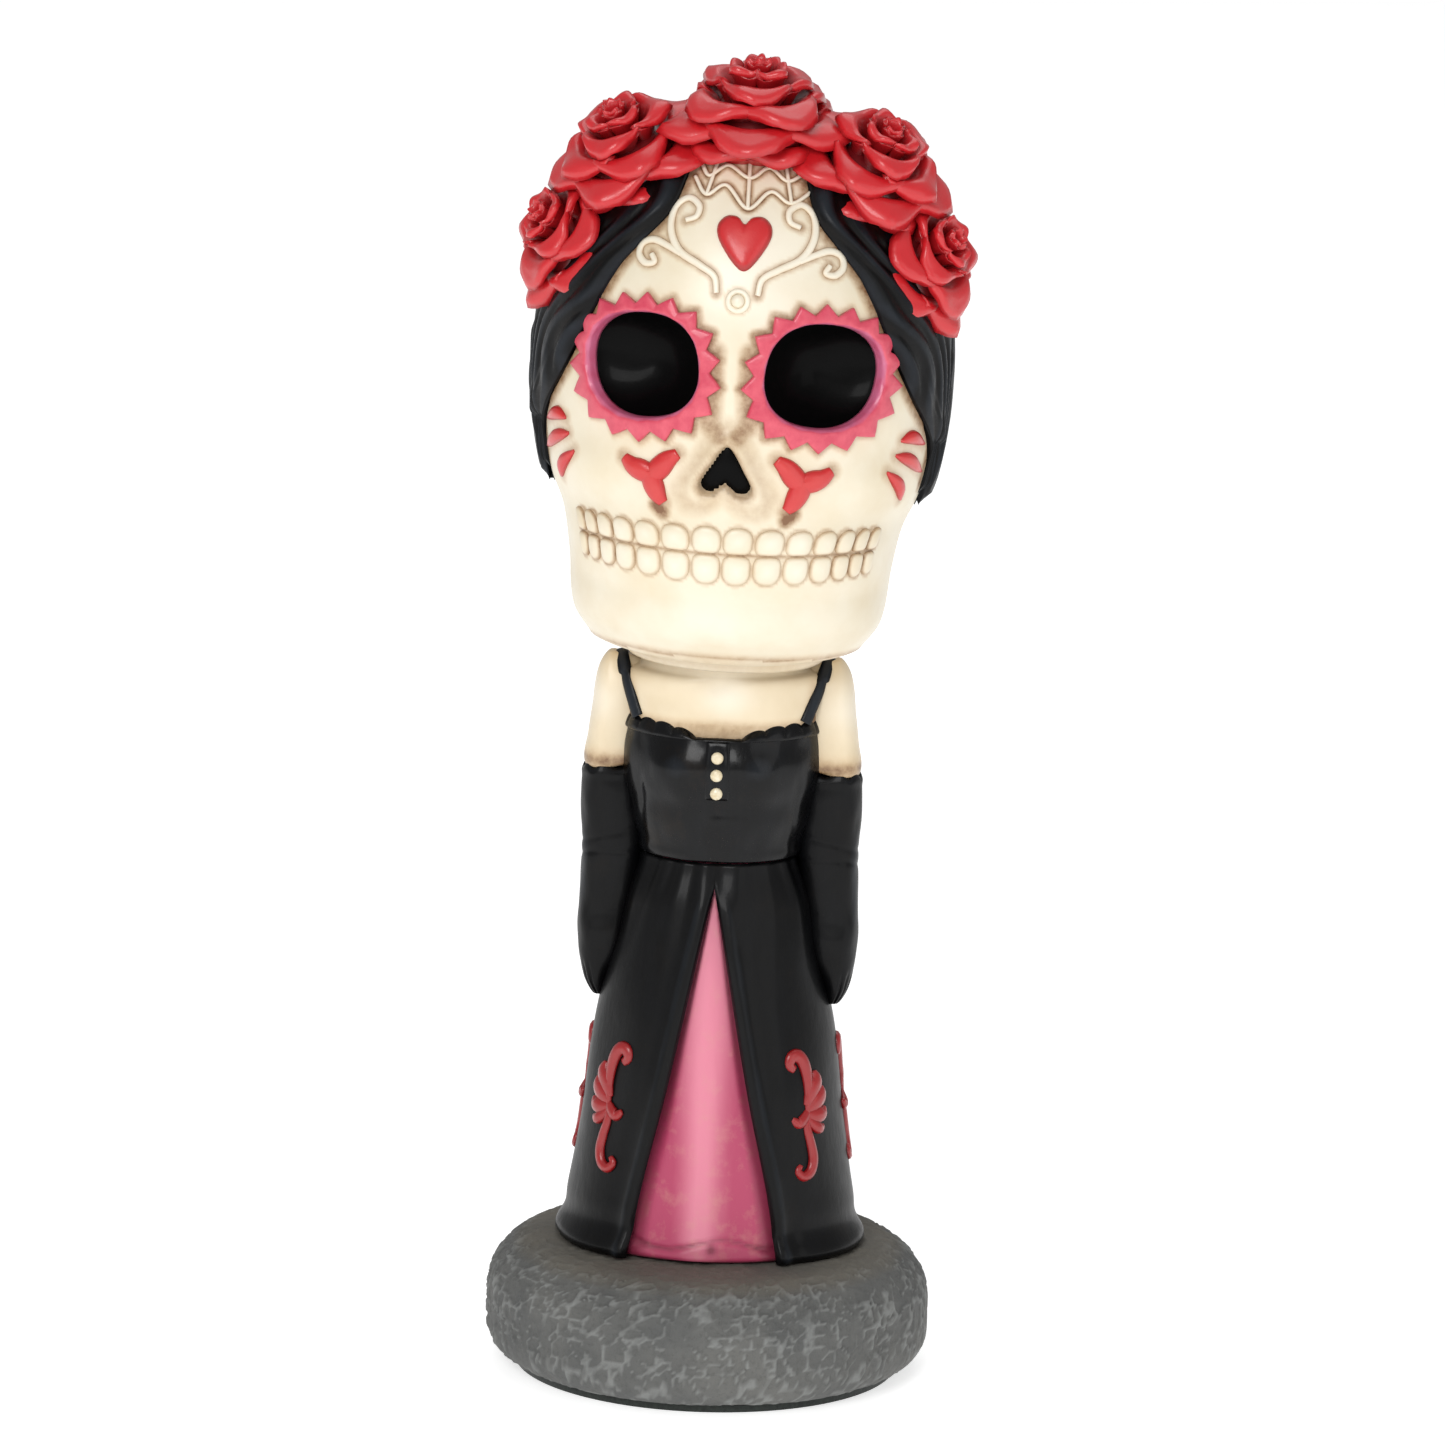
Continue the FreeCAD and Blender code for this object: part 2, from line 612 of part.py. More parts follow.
nose_hole = heart("nose_hole", cell("nose_size"), cell("nose_z"), True)
eye_holes = [socket_hole(f"eye_hole{count}", f"sizes.socket_radius + {gap}", way)
             for count, way in enumerate((-1, 1))]
skull_cut = cut("skull_cut", skull_solid, head_cavity, neck_hole, nose_hole, *eye_holes)
node("skull_shell", skull_cut, on_head=True)


def raised(name, outline):
    """What an outline leaves standing on the face, of even thickness."""
    return cut(f"{name}_cut", common(f"{name}_flat", outline, relief_over), skull_gap)


# --- eyes: a black cup in each socket and a pointed ring round it
cup_back = "(sizes.head_half_deep * 0.88 - sizes.socket_deep)"
cup_solid = rod("cup_solid", cell("socket_radius"), front_deep, "-sizes.eye_out", f"-{cup_back}",
                cell("eye_z"), forward=True)
cup_front = head_loft("cup_front", "-0.3")
cup_bowl = doc.addObject("Part::Ellipsoid", "cup_bowl")
bind(cup_bowl, Radius1="sizes.socket_deep - 1.2", Radius2="sizes.socket_radius - 0.8",
     Radius3="sizes.socket_radius - 0.8")
turn(cup_bowl, (1, 0, 0), 90)
place(cup_bowl, "-sizes.eye_out", f"-({cup_back} + sizes.socket_deep)", cell("eye_z"))
pair("eye_socket", cut("cup_cut", common("cup_flat", cup_solid, cup_front), cup_bowl), on_head=True)

ring_points = [rod(f"ring_point{count}", cell("ring_point_radius"), front_deep,
                   f"-sizes.eye_out + sizes.ring_radius * cos({count} * 360 / {RING_POINTS})", "0",
                   f"sizes.eye_z + sizes.ring_radius * sin({count} * 360 / {RING_POINTS})", forward=True)
               for count in range(RING_POINTS)]
ring_disc = socket_hole("ring_disc", cell("ring_radius"), -1)
ring_hole = socket_hole("ring_hole", f"sizes.socket_radius + 2 * {gap}", -1)
pair("eye_ring", raised("eye_ring", cut("ring_flat", fuse("ring_star", ring_disc, *ring_points), ring_hole)),
     on_head=True)

# --- nose: a black insert set back in its hole
nose_plug = heart("nose_plug", f"(sizes.nose_size - 2 * {gap})", cell("nose_z"), True)
nose_front = head_loft("nose_front", "-sizes.nose_inset")
node("nose_cavity", cut("nose_cut", common("nose_flat", nose_plug, nose_front), head_cavity), on_head=True)

# --- forehead: heart and pearl
heart_flat = heart("heart_flat", cell("heart_size"), cell("heart_z"))
node("forehead_heart", raised("heart", heart_flat), on_head=True)
pearl_outer = rod("pearl_outer", "sizes.pearl_ring_radius + sizes.pearl_ring_wire", front_deep,
                  z=cell("pearl_z"), forward=True)
pearl_inner = rod("pearl_inner", "sizes.pearl_ring_radius - sizes.pearl_ring_wire", front_deep,
                  z=cell("pearl_z"), forward=True)
pearl_ring = cut("pearl_ring", pearl_outer, pearl_inner)
pearl_dot = rod("pearl_dot", cell("pearl_radius"), front_deep, z=cell("pearl_z"), forward=True)
pearl = group("pearl", raised("pearl_ring", pearl_ring), raised("pearl_dot", pearl_dot))
node("forehead_pearl", pearl, on_head=True)

# --- cheeks: three lobes each, and three petals at each temple
lobes = [rod(f"cheek_lobe{count}", cell("cheek_lobe_radius"), front_deep,
             f"-sizes.cheek_out + sizes.cheek_lobe_out * cos({angle})", "0",
             f"sizes.cheek_z + sizes.cheek_lobe_out * sin({angle})", forward=True)
         for count, angle in enumerate((20, 145, 290))]
cheek_middle = rod("cheek_middle", cell("cheek_lobe_radius"), front_deep, "-sizes.cheek_out", "0",
                   cell("cheek_z"), forward=True)
pair("cheek_motif", raised("cheek", fuse("cheek_star", cheek_middle, *lobes)), on_head=True)

petals = []
for count in range(3):
    petal = doc.addObject("Part::Ellipsoid", f"petal{count}")
    bind(petal, Radius1="sizes.petal_step / 2 - 0.3", Radius2="sizes.relief * 1.9",
         Radius3="sizes.relief * 2")
    petals.append(place(petal, "-sizes.head_half_wide * sizes.petal_side",
                        "-sizes.head_half_deep * sizes.petal_front",
                        f"sizes.petal_z + sizes.petal_step * {count - 1}"))
pair("temple_petals", cut("petals_cut", group("petals", *petals), skull_gap), on_head=True)

# --- teeth: two rows of separate teeth round the front of the jaw
def teeth(name, low, tall):
    """One row of teeth from a level."""
    row = []
    for count in range(-SIDE_TEETH, SIDE_TEETH):
        tooth = doc.addObject("Part::Box", f"{name}{count + SIDE_TEETH}")
        bind(tooth, Length=cell("tooth_wide"), Width="sizes.head_half_wide + 10", Height=tall)
        angle = f"(180 + {count + 0.5} * sizes.tooth_step)"
        turn(tooth, (0, 0, 1), 180)
        tooth.setExpression("Placement.Rotation.Angle", angle)
        place(tooth, f"-sizes.tooth_wide / 2 * cos{angle}", f"-sizes.tooth_wide / 2 * sin{angle}", low)
        row.append(tooth)
    return group(f"{name}_node", *[raised(tooth.Name, tooth) for tooth in row])


upper_low = "sizes.bite_z + sizes.tooth_gap"
node("teeth_upper", teeth("upper_tooth", upper_low, cell("tooth_upper_tall")), on_head=True)
lower_low = "sizes.bite_z - sizes.tooth_gap - sizes.tooth_lower_tall"
node("teeth_lower", teeth("lower_tooth", lower_low, cell("tooth_lower_tall")), on_head=True)

# --- hair: a cap behind, and a combed lock down each side of the face
hair_outer = head_loft("hair_outer", cell("hair_thick"))
hair_coat = cut("hair_coat", hair_outer, skull_gap)
hair_gap = head_loft("hair_gap", f"sizes.hair_thick + {gap}")
wide_all = "4 * sizes.head_half_wide"
back_block = block("back_block", wide_all, front_deep, "2 * sizes.head_tall", "-2 * sizes.head_half_wide",
                   cell("hair_part_y"), cell("hair_nape_z"))
node("hair_back", common("hair_back_cut", hair_coat, back_block), on_head=True)
hairline = [(f"-sizes.head_half_wide * {share}", f"sizes.head_low + sizes.head_tall * {height}")
            for height, share in HAIRLINE]
lock_outline = upright_body("lock_outline", [
    ("-2 * sizes.head_half_wide", cell("hair_side_z")), (hairline[0][0], cell("hair_side_z")),
    *hairline[1:], (hairline[-1][0], "2 * sizes.head_tall"),
    ("-2 * sizes.head_half_wide", "2 * sizes.head_tall")],
    "4 * sizes.head_half_deep")
front_block = block("front_block", wide_all, front_deep, "3 * sizes.head_tall", "-2 * sizes.head_half_wide",
                    f"sizes.hair_part_y - {front_deep} - {gap}", "-sizes.head_tall")
ring_room = socket_hole("ring_room", f"sizes.ring_radius + sizes.ring_point_radius + {gap}", -1)
hair_lock = common("hair_lock", common("hair_front", hair_coat, front_block), lock_outline)
pair("hair", cut("hair_lock_cut", hair_lock, ring_room), on_head=True)

# --- roses on the hair, each set clear of the one before it
def rose_tiers(name, radius, x, y, z, tilt, lean):
    """A rose's outline: a bud over two tiers of petals. It points up, then tilts forward and leans aside."""
    flower = turned_body(name, (
        ("0", f"-0.6 * {radius}"), (f"0.5 * {radius}", f"-0.5 * {radius}"),
        (f"0.93 * {radius}", f"-0.1 * {radius}"), (radius, f"0.16 * {radius}"),
        (f"0.8 * {radius}", f"0.2 * {radius}"), (f"0.72 * {radius}", f"0.46 * {radius}"),
        (f"0.5 * {radius}", f"0.46 * {radius}"), (f"0.36 * {radius}", f"0.7 * {radius}"),
        ("0", f"0.74 * {radius}")))
    place(flower, x, y, z)
    flower.Placement.Rotation = FreeCAD.Rotation(FreeCAD.Vector(0, 0, 1), -number(lean)).multiply(
        FreeCAD.Rotation(FreeCAD.Vector(1, 0, 0), number(tilt)))
    return flower


centre_spot = ("0", "-(sizes.head_half_deep - sizes.rose_centre_back)", f"{crown} - sizes.rose_centre_below",
               cell("rose_centre_tilt"), "0")
upper_spot = ("-(sizes.head_half_wide - sizes.rose_upper_inset)",
              "-(sizes.head_half_deep - sizes.rose_upper_back)", f"{crown} - sizes.rose_upper_below",
              cell("rose_upper_tilt"), cell("rose_upper_lean"))
lower_spot = ("-(sizes.head_half_wide - sizes.rose_lower_inset)",
              "-(sizes.head_half_deep - sizes.rose_lower_back)", f"{crown} - sizes.rose_lower_below",
              cell("rose_lower_tilt"), cell("rose_lower_lean"))
centre_rose = rose_tiers("centre_rose", cell("rose_centre_radius"), *centre_spot)
centre_room = rose_tiers("centre_room", "(sizes.rose_centre_radius + sizes.rose_gap)", *centre_spot)
upper_rose = rose_tiers("upper_rose", cell("rose_upper_radius"), *upper_spot)
upper_room = rose_tiers("upper_room", "(sizes.rose_upper_radius + sizes.rose_gap)", *upper_spot)
lower_rose = rose_tiers("lower_rose", cell("rose_lower_radius"), *lower_spot)
node("rose_centre", cut("rose_centre_cut", centre_rose, hair_gap), on_head=True)
pair("rose_upper", cut("rose_upper_cut", upper_rose, hair_gap, centre_room), on_head=True)
pair("rose_lower", cut("rose_lower_cut", lower_rose, hair_gap, upper_room), on_head=True)

# --- check and write
doc.recompute()
for thing in doc.Objects:
    bad = [word for word in thing.State if word in ("Invalid", "Error")]
    if bad:
        raise RuntimeError(f"{thing.Name} did not build: {bad}")
for name, thing in NODES.items():
    if thing.Shape.isNull() or not thing.Shape.isValid():
        raise RuntimeError(f"{name} has no valid shape")
    if not thing.Shape.Solids:
        raise RuntimeError(f"{name} has no solid")

os.makedirs("parts", exist_ok=True)
for name, thing in NODES.items():
    thing.Shape.exportStep(f"parts/{name}.step")
print(len(NODES), "nodes written")
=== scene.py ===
import math

import bmesh
import bpy
from mathutils import Matrix, Vector, noise
from mathutils.bvhtree import BVHTree
from mathutils.kdtree import KDTree
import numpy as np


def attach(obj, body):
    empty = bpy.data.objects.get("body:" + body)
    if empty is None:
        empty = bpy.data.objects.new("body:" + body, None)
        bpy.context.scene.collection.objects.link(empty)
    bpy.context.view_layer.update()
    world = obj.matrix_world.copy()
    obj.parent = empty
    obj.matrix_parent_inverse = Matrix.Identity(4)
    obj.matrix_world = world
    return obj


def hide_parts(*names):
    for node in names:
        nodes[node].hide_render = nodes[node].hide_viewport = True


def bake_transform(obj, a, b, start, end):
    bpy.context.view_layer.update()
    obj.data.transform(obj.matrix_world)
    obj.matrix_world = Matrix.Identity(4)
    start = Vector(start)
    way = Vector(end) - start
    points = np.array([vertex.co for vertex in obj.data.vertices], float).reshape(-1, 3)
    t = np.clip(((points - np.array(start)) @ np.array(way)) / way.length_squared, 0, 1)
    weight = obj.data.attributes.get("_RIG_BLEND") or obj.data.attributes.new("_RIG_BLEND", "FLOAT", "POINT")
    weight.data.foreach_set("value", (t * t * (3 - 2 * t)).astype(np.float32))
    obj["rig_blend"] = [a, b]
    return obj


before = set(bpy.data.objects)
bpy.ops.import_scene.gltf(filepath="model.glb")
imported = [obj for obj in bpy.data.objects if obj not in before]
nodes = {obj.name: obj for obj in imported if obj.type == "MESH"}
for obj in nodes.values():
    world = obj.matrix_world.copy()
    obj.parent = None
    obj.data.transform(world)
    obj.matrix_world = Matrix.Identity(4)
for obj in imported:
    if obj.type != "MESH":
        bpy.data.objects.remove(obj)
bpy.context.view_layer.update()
bpy.context.scene.view_settings.view_transform = "Standard"
print("frame loaded:", len(nodes), "nodes")
noise.seed_set(7)  # noise_vector is random from run to run without a seed

# Pieces are shaped in millimetres and brought to metres when they are finished.
millimetre = 0.001
figure = {"standZ": 19, "waistZ": 77, "bodiceTopZ": 95.6, "neckTopZ": 109, "pivotZ": 108, "headLean": 1.7}
headMatrix = (Matrix.Translation((0, 0, figure["pivotZ"]))
              @ Matrix.Rotation(math.radians(figure["headLean"]), 4, "Y"))


# sums
def smooth(low, high, value):
    share = min(max((value - low) / (high - low), 0), 1)
    return share * share * (3 - 2 * share)


def bell(value, middle, width):
    return math.exp(-((value - middle) / width) ** 2)


def between(rows, at):
    # a smooth curve through rows that start with their place on it
    last = len(rows) - 1
    at = min(max(at, rows[0][0]), rows[last][0])
    index = 0
    while index < last - 1 and rows[index + 1][0] <= at:
        index += 1
    low, high = rows[index], rows[index + 1]
    span = high[0] - low[0]
    share = (at - low[0]) / span
    before, after = rows[max(index - 1, 0)], rows[min(index + 2, last)]
    found = []
    for place in range(1, len(low)):
        startSlope = (high[place] - before[place]) / (high[0] - before[0]) * span
        endSlope = (after[place] - low[place]) / (after[0] - low[0]) * span
        square, cube = share * share, share ** 3
        found.append((2 * cube - 3 * square + 1) * low[place] + (cube - 2 * square + share) * startSlope
                     + (3 * square - 2 * cube) * high[place] + (cube - square) * endSlope)
    return found


def through(points, share, looped=False):
    # a point on a smooth line through the given points
    if looped:
        points = [*points[-2:], *points, *points[:3]]
        rows = [(count - 2, *point) for count, point in enumerate(points)]
        return between(rows, share * (len(points) - 5))
    rows = [(count, *point) for count, point in enumerate(points)]
    return between(rows, share * (len(points) - 1))


def outlineReach(points, centre, steps=180):
    # how far a closed outline reaches from its centre, for each direction
    reach = [0.0] * steps
    for count in range(steps * 4):
        x, z = through(points, count / steps / 4, looped=True)
        angle = math.atan2(z - centre[1], x - centre[0]) % math.tau
        reach[int(angle / math.tau * steps) % steps] = math.hypot(x - centre[0], z - centre[1])
    for count in range(steps):
        if not reach[count]:
            reach[count] = reach[count - 1]
    return reach


def reachAt(reach, angle):
    place = (angle % math.tau) / math.tau * len(reach)
    low = int(place) % len(reach)
    share = place - int(place)
    return reach[low] * (1 - share) + reach[(low + 1) % len(reach)] * share


# mesh making
def bent(columns, rows, place, merge=0.002):
    # a grid whose every point goes where place says, with its dark value (brown wash, and painted shade on
    # some pieces) and its light value (painted highlight, and a tint on some pieces)
    mesh = bmesh.new()
    bmesh.ops.create_grid(mesh, x_segments=columns, y_segments=rows, size=1)
    wash = mesh.verts.layers.float.new("wash")
    tint = mesh.verts.layers.float.new("tint")
    for vertex in mesh.verts:
        point, dark, light = place((vertex.co.x + 1) / 2, (vertex.co.y + 1) / 2)
        vertex.co = point
        vertex[wash] = dark
        vertex[tint] = light
    bmesh.ops.remove_doubles(mesh, verts=mesh.verts, dist=merge)
    bmesh.ops.recalc_face_normals(mesh, faces=mesh.faces)
    return mesh


def closed(mesh):
    # open edges filled, and every face turned outwards
    loose = [edge for edge in mesh.edges if edge.is_boundary]
    if loose:
        bmesh.ops.holes_fill(mesh, edges=loose, sides=0)
    bmesh.ops.recalc_face_normals(mesh, faces=mesh.faces)
    return mesh


def joined(meshes):
    # several meshes as one
    whole = meshes[0]
    for part in meshes[1:]:
        held = bpy.data.meshes.new("held")
        part.to_mesh(held)
        part.free()
        whole.from_mesh(held)
        bpy.data.meshes.remove(held)
    return whole


def mirrored(mesh):
    # the same shape on the other side of the figure
    other = mesh.copy()
    bmesh.ops.transform(other, matrix=Matrix.Scale(-1, 4, (1, 0, 0)), verts=other.verts)
    bmesh.ops.reverse_faces(other, faces=other.faces)
    return other


def finished(name, mesh, paint, body, stands, onHead=False):
    # a shape made into a piece that rides on its body and stands for its node
    if onHead:
        bmesh.ops.transform(mesh, matrix=headMatrix, verts=mesh.verts)
    bmesh.ops.scale(mesh, vec=(millimetre,) * 3, verts=mesh.verts)
    data = bpy.data.meshes.new(name)
    mesh.to_mesh(data)
    mesh.free()
    for face in data.polygons:
        face.use_smooth = True
    data.materials.append(paint)
    piece = bpy.data.objects.new(name, data)
    bpy.context.collection.objects.link(piece)
    if body:
        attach(piece, body)
    for node in stands:
        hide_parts(node)
    return piece


def pair(name, mesh, paint, body, onHead=False, stands=None):
    # the left piece and its mirror image; stands is False where no node is replaced
    other = mirrored(mesh)
    for side, shape in (("left", mesh), ("right", other)):
        nodesStood = [] if stands is False else [f"{name}_{side}"]
        finished(f"{name}_{side}_cast", shape, paint, body, nodesStood, onHead)


def strand(path, surface, wide, high, sunk=0.3, steps=40, sides=10, looped=False, dark=0.0):
    # a raised line or leaf along a path on a surface; wide and high are shares of the way along
    def spot(share):
        share = share % 1 if looped else min(max(share, 0), 1)
        return surface(*through(path, share, looped))

    def place(along, around):
        point, normal = spot(along)
        ahead, behind = spot(along + 0.01)[0], spot(along - 0.01)[0]
        side = (ahead - behind).cross(normal).normalized()
        angle = around * math.tau
        rise = math.sin(angle)
        lift = high(along) * rise if rise > 0 else sunk * rise * min(high(along) * 4, 1)
        edge = 1 - max(rise, 0)
        # the foot is darkened by dark, and the top takes a painted highlight
        return point + side * wide(along) * math.cos(angle) + normal * lift, dark * edge, 1 - edge
    mesh = bent(steps, sides, place)
    return mesh if looped else closed(mesh)


def steady(value):
    return lambda share: value


def tapered(start, middle, end, peak=0.4):
    def width(share):
        if share < peak:
            return start + (middle - start) * math.sin(share / peak * math.pi / 2)
        return end + (middle - end) * math.cos((share - peak) / (1 - peak) * math.pi / 2)
    return width


def domed(reach, centre, surface, high, columns=72, rows=10, sunk=0.5, dark=0.6, flat=3.0):
    # a raised pad of any outline, with a rounded edge
    def place(across, along):
        angle = across * math.tau
        share = min(along * 1.25, 1)
        under = max(along * 1.25 - 1, 0) * 4
        edge = reachAt(reach, angle)
        distance = edge * share * (1 - 0.03 * under)
        x, z = centre[0] + distance * math.cos(angle), centre[1] + distance * math.sin(angle)
        point, normal = surface(x, z)
        lift = high * (1 - share ** flat) ** 0.5 if share < 1 else -sunk * under
        # darker towards the rounded edge by dark, with a painted highlight growing towards the middle
        return point + normal * lift, dark * smooth(0.7, 1, share), 1 - share
    mesh = bent(columns, rows, place)
    return closed(mesh)


def loftLine(rows, samples=260):
    # the outline of a lofted body: each sample has half width, half depth, middle and height
    start, span = rows[0][0], rows[-1][0] - rows[0][0]
    line = [between(rows, start + span * count / samples) for count in range(samples + 1)]
    lengths = [0.0]
    for low, high in zip(line, line[1:]):
        lengths.append(lengths[-1] + math.dist(low, high))
    return [(length / lengths[-1], *row) for length, row in zip(lengths, line)]


def lineAt(line, share):
    low, high = 0, len(line) - 1
    while high - low > 1:
        middle = (low + high) // 2
        if line[middle][0] <= share:
            low = middle
        else:
            high = middle
    span = line[high][0] - line[low][0]
    part = (share - line[low][0]) / span if span else 0
    return [a + (b - a) * part for a, b in zip(line[low][1:], line[high][1:])]


# paint
class Tone:
    # a socket in a material that can be used in a Python sum
    def __init__(self, paint, socket):
        self.paint = paint
        self.socket = socket

    def sum(self, operation, first, second):
        return self.paint.make("ShaderNodeMath", {"operation": operation}, {0: first, 1: second})

    def __add__(self, other):
        return self.sum("ADD", self, other)

    def __radd__(self, other):
        return self.sum("ADD", other, self)

    def __sub__(self, other):
        return self.sum("SUBTRACT", self, other)

    def __rsub__(self, other):
        return self.sum("SUBTRACT", other, self)

    def __mul__(self, other):
        return self.sum("MULTIPLY", self, other)

    def __rmul__(self, other):
        return self.sum("MULTIPLY", other, self)

    def __pow__(self, other):
        return self.sum("POWER", self, other)


def colour(red, green, blue):
    # a colour as it looks on a screen, made linear
    return (*[(part / 255 / 12.92) if part < 10.3 else ((part / 255 + 0.055) / 1.055) ** 2.4
              for part in (red, green, blue)], 1)


class Paint:
    def __init__(self, name, **fixed):
        self.material = bpy.data.materials.new(name)
        self.material.use_nodes = True
        self.tree = self.material.node_tree
        self.shader = self.tree.nodes["Principled BSDF"]
        for socket, value in fixed.items():
            self.shader.inputs[socket.replace("_", " ")].default_value = value
        self.where = self.make("ShaderNodeTexCoord", out="Object")

    def make(self, kind, settings=None, values=None, out=0):
        made = self.tree.nodes.new(kind)
        for name, value in (settings or {}).items():
            if name == "stops":
                ramp = made.color_ramp.elements
                while len(ramp) < len(value):
                    ramp.new(0.5)
                for stop, (place, shade) in zip(ramp, value):
                    stop.position = place
                    stop.color = shade
            else:
                setattr(made, name, value)
        for name, value in (values or {}).items():
            if isinstance(value, Tone):
                self.tree.links.new(value.socket, made.inputs[name])
            else:
                made.inputs[name].default_value = value
        return Tone(self, made.outputs[out])

    def attribute(self, name):
        return self.make("ShaderNodeAttribute", {"attribute_name": name}, out="Fac")

    def stretched(self, across, deep, tall):
        return self.make("ShaderNodeMapping", values={"Vector": self.where, "Scale": (across, deep, tall)})

    def cloud(self, size, detail=3, rough=0.55, where=None):
        # a cloudy pattern with features of about this many millimetres
        values = {"Vector": where or self.where, "Scale": 1 / (size * millimetre), "Detail": detail,
                  "Roughness": rough}
        return self.make("ShaderNodeTexNoise", values=values)

    def ramp(self, value, *stops):
        # a number read between places, each with a grey
        greys = [(place, (grey, grey, grey, 1)) for place, grey in stops]
        return self.make("ShaderNodeValToRGB", {"stops": greys}, {"Fac": value})

    def mix(self, share, first, second):
        return self.make("ShaderNodeMix", {"data_type": "RGBA"}, {0: share, 6: first, 7: second}, out=2)

    def coat(self, base, rough, height=None, depth=0.1, strength=0.5):
        for name, value in (("Base Color", base), ("Roughness", rough)):
            if isinstance(value, Tone):
                self.tree.links.new(value.socket, self.shader.inputs[name])
            else:
                self.shader.inputs[name].default_value = value
        if height:
            bump = self.make("ShaderNodeBump", values={"Height": height, "Distance": depth * millimetre,
                                                       "Strength": strength})
            self.tree.links.new(bump.socket, self.shader.inputs["Normal"])
        return self.material


def bonePaint(name, pale, warm, washAndShadeBrown):
    # cream paint rubbed with a brown wash that stays in the hollows; the same browns are painted as shade on
    # the head's underside, along the jaw's bottom, under the head's collar and on the arms' sides towards the
    # body, and a paler cream is painted as highlight
    paint = Paint(name, Coat_Weight=0.25, Coat_Roughness=0.25, Specular_IOR_Level=0.5)
    wash, tint = paint.attribute("wash"), paint.attribute("tint")
    patches = paint.ramp(paint.cloud(9, 4), (0.38, 0), (0.72, 1))
    specks = paint.cloud(1.4, 5, 0.65)
    held = paint.ramp(wash * (0.55 + specks * 0.9), (0.05, 0), (0.85, 1))
    base = paint.mix(patches * 0.55, pale, warm)
    # paler cream painted as highlight on forehead, chin, chest, tooth middles and the tops of raised marks
    base = paint.mix(tint * 0.4, base, colour(250, 245, 232))
    # the brown wash in the hollows, and painted shade where the mesh marks it
    base = paint.mix(held * 0.6, base, colour(206, 158, 92))
    base = paint.mix(held ** 2.2 * 0.9, base, washAndShadeBrown)
    brush = paint.cloud(0.5, 4, 0.6) * 0.6 + specks * 0.4
    return paint.coat(base, 0.34 + specks * 0.12, brush, 0.06, 0.35)


bone = bonePaint("bone_paint", colour(236, 226, 203), colour(222, 204, 168), colour(112, 66, 30))
skin = bonePaint("skin_paint", colour(232, 216, 186), colour(218, 196, 158), colour(104, 70, 42))


def redPaint(name, bright, deep, pale):
    paint = Paint(name, Coat_Weight=0.45, Coat_Roughness=0.2)
    wash, tint = paint.attribute("wash"), paint.attribute("tint")
    patches = paint.cloud(4, 4, 0.6)
    brush = paint.cloud(0.6, 4, 0.6)
    # darker red painted as shade deep in the roses, under their petals and at the foot of raised marks
    base = paint.mix(paint.ramp(wash + patches * 0.35, (0.3, 0), (1.05, 1)), bright, deep)
    # paler red painted as highlight on the petals' lips and the tops of raised marks
    base = paint.mix(paint.ramp(tint * (patches + 0.35), (0.45, 0), (1, 0.55)), base, pale)
    return paint.coat(base, 0.3 + brush * 0.16, brush + patches, 0.09, 0.4)


roseRed = redPaint("rose_red", colour(204, 30, 38), colour(112, 12, 18), colour(222, 70, 68))
trimRed = redPaint("trim_red", colour(200, 30, 34), colour(104, 24, 18), colour(216, 70, 64))
scrollRed = redPaint("scroll_red", colour(150, 12, 18), colour(84, 10, 12), colour(164, 30, 32))


def ringPaint():
    paint = Paint("ring_pink", Coat_Weight=0.35, Coat_Roughness=0.22)
    wash, tint = paint.attribute("wash"), paint.attribute("tint")
    patches = paint.cloud(2.4, 4, 0.6)
    base = paint.mix(paint.ramp(patches, (0.35, 0), (0.7, 1)), colour(204, 58, 84), colour(222, 88, 106))
    base = paint.mix(paint.ramp(tint * (patches + 0.4), (0.3, 0), (1, 0.6)), base, colour(196, 120, 160))
    base = paint.mix(paint.ramp(wash * (patches + 0.5), (0.25, 0), (0.95, 0.8)), base, colour(128, 50, 46))
    return paint.coat(base, 0.3 + patches * 0.15, paint.cloud(0.6, 4), 0.07, 0.35)


ringPink = ringPaint()


def skirtPink():
    # pink dress front: a painted highlight down the middle, painted shade towards the edges under the
    # overskirt and in the hem's crease, tan where the wash stayed
    paint = Paint("pink_paint", Coat_Weight=0.2, Coat_Roughness=0.3)
    wash, tint = paint.attribute("wash"), paint.attribute("tint")
    streaks = paint.cloud(5, 4, 0.6, paint.stretched(1, 1, 0.18))
    patches = paint.cloud(3, 5, 0.65)
    # painted highlight down the middle of the front
    base = paint.mix(paint.ramp(tint + (streaks - 0.5) * 0.5, (0.1, 0), (0.95, 1)), colour(186, 66, 102),
                     colour(226, 132, 154))
    base = paint.mix(paint.ramp(patches, (0.5, 0), (0.75, 0.35)), base, colour(214, 158, 140))
    # deep pink painted as shade where the overskirt covers the edges and in the hem's crease
    base = paint.mix(paint.ramp(wash * (patches + 0.5), (0.15, 0), (0.9, 0.85)), base, colour(122, 34, 58))
    return paint.coat(base, 0.4 + patches * 0.14, patches + streaks, 0.12, 0.4)


pinkPaint = skirtPink()


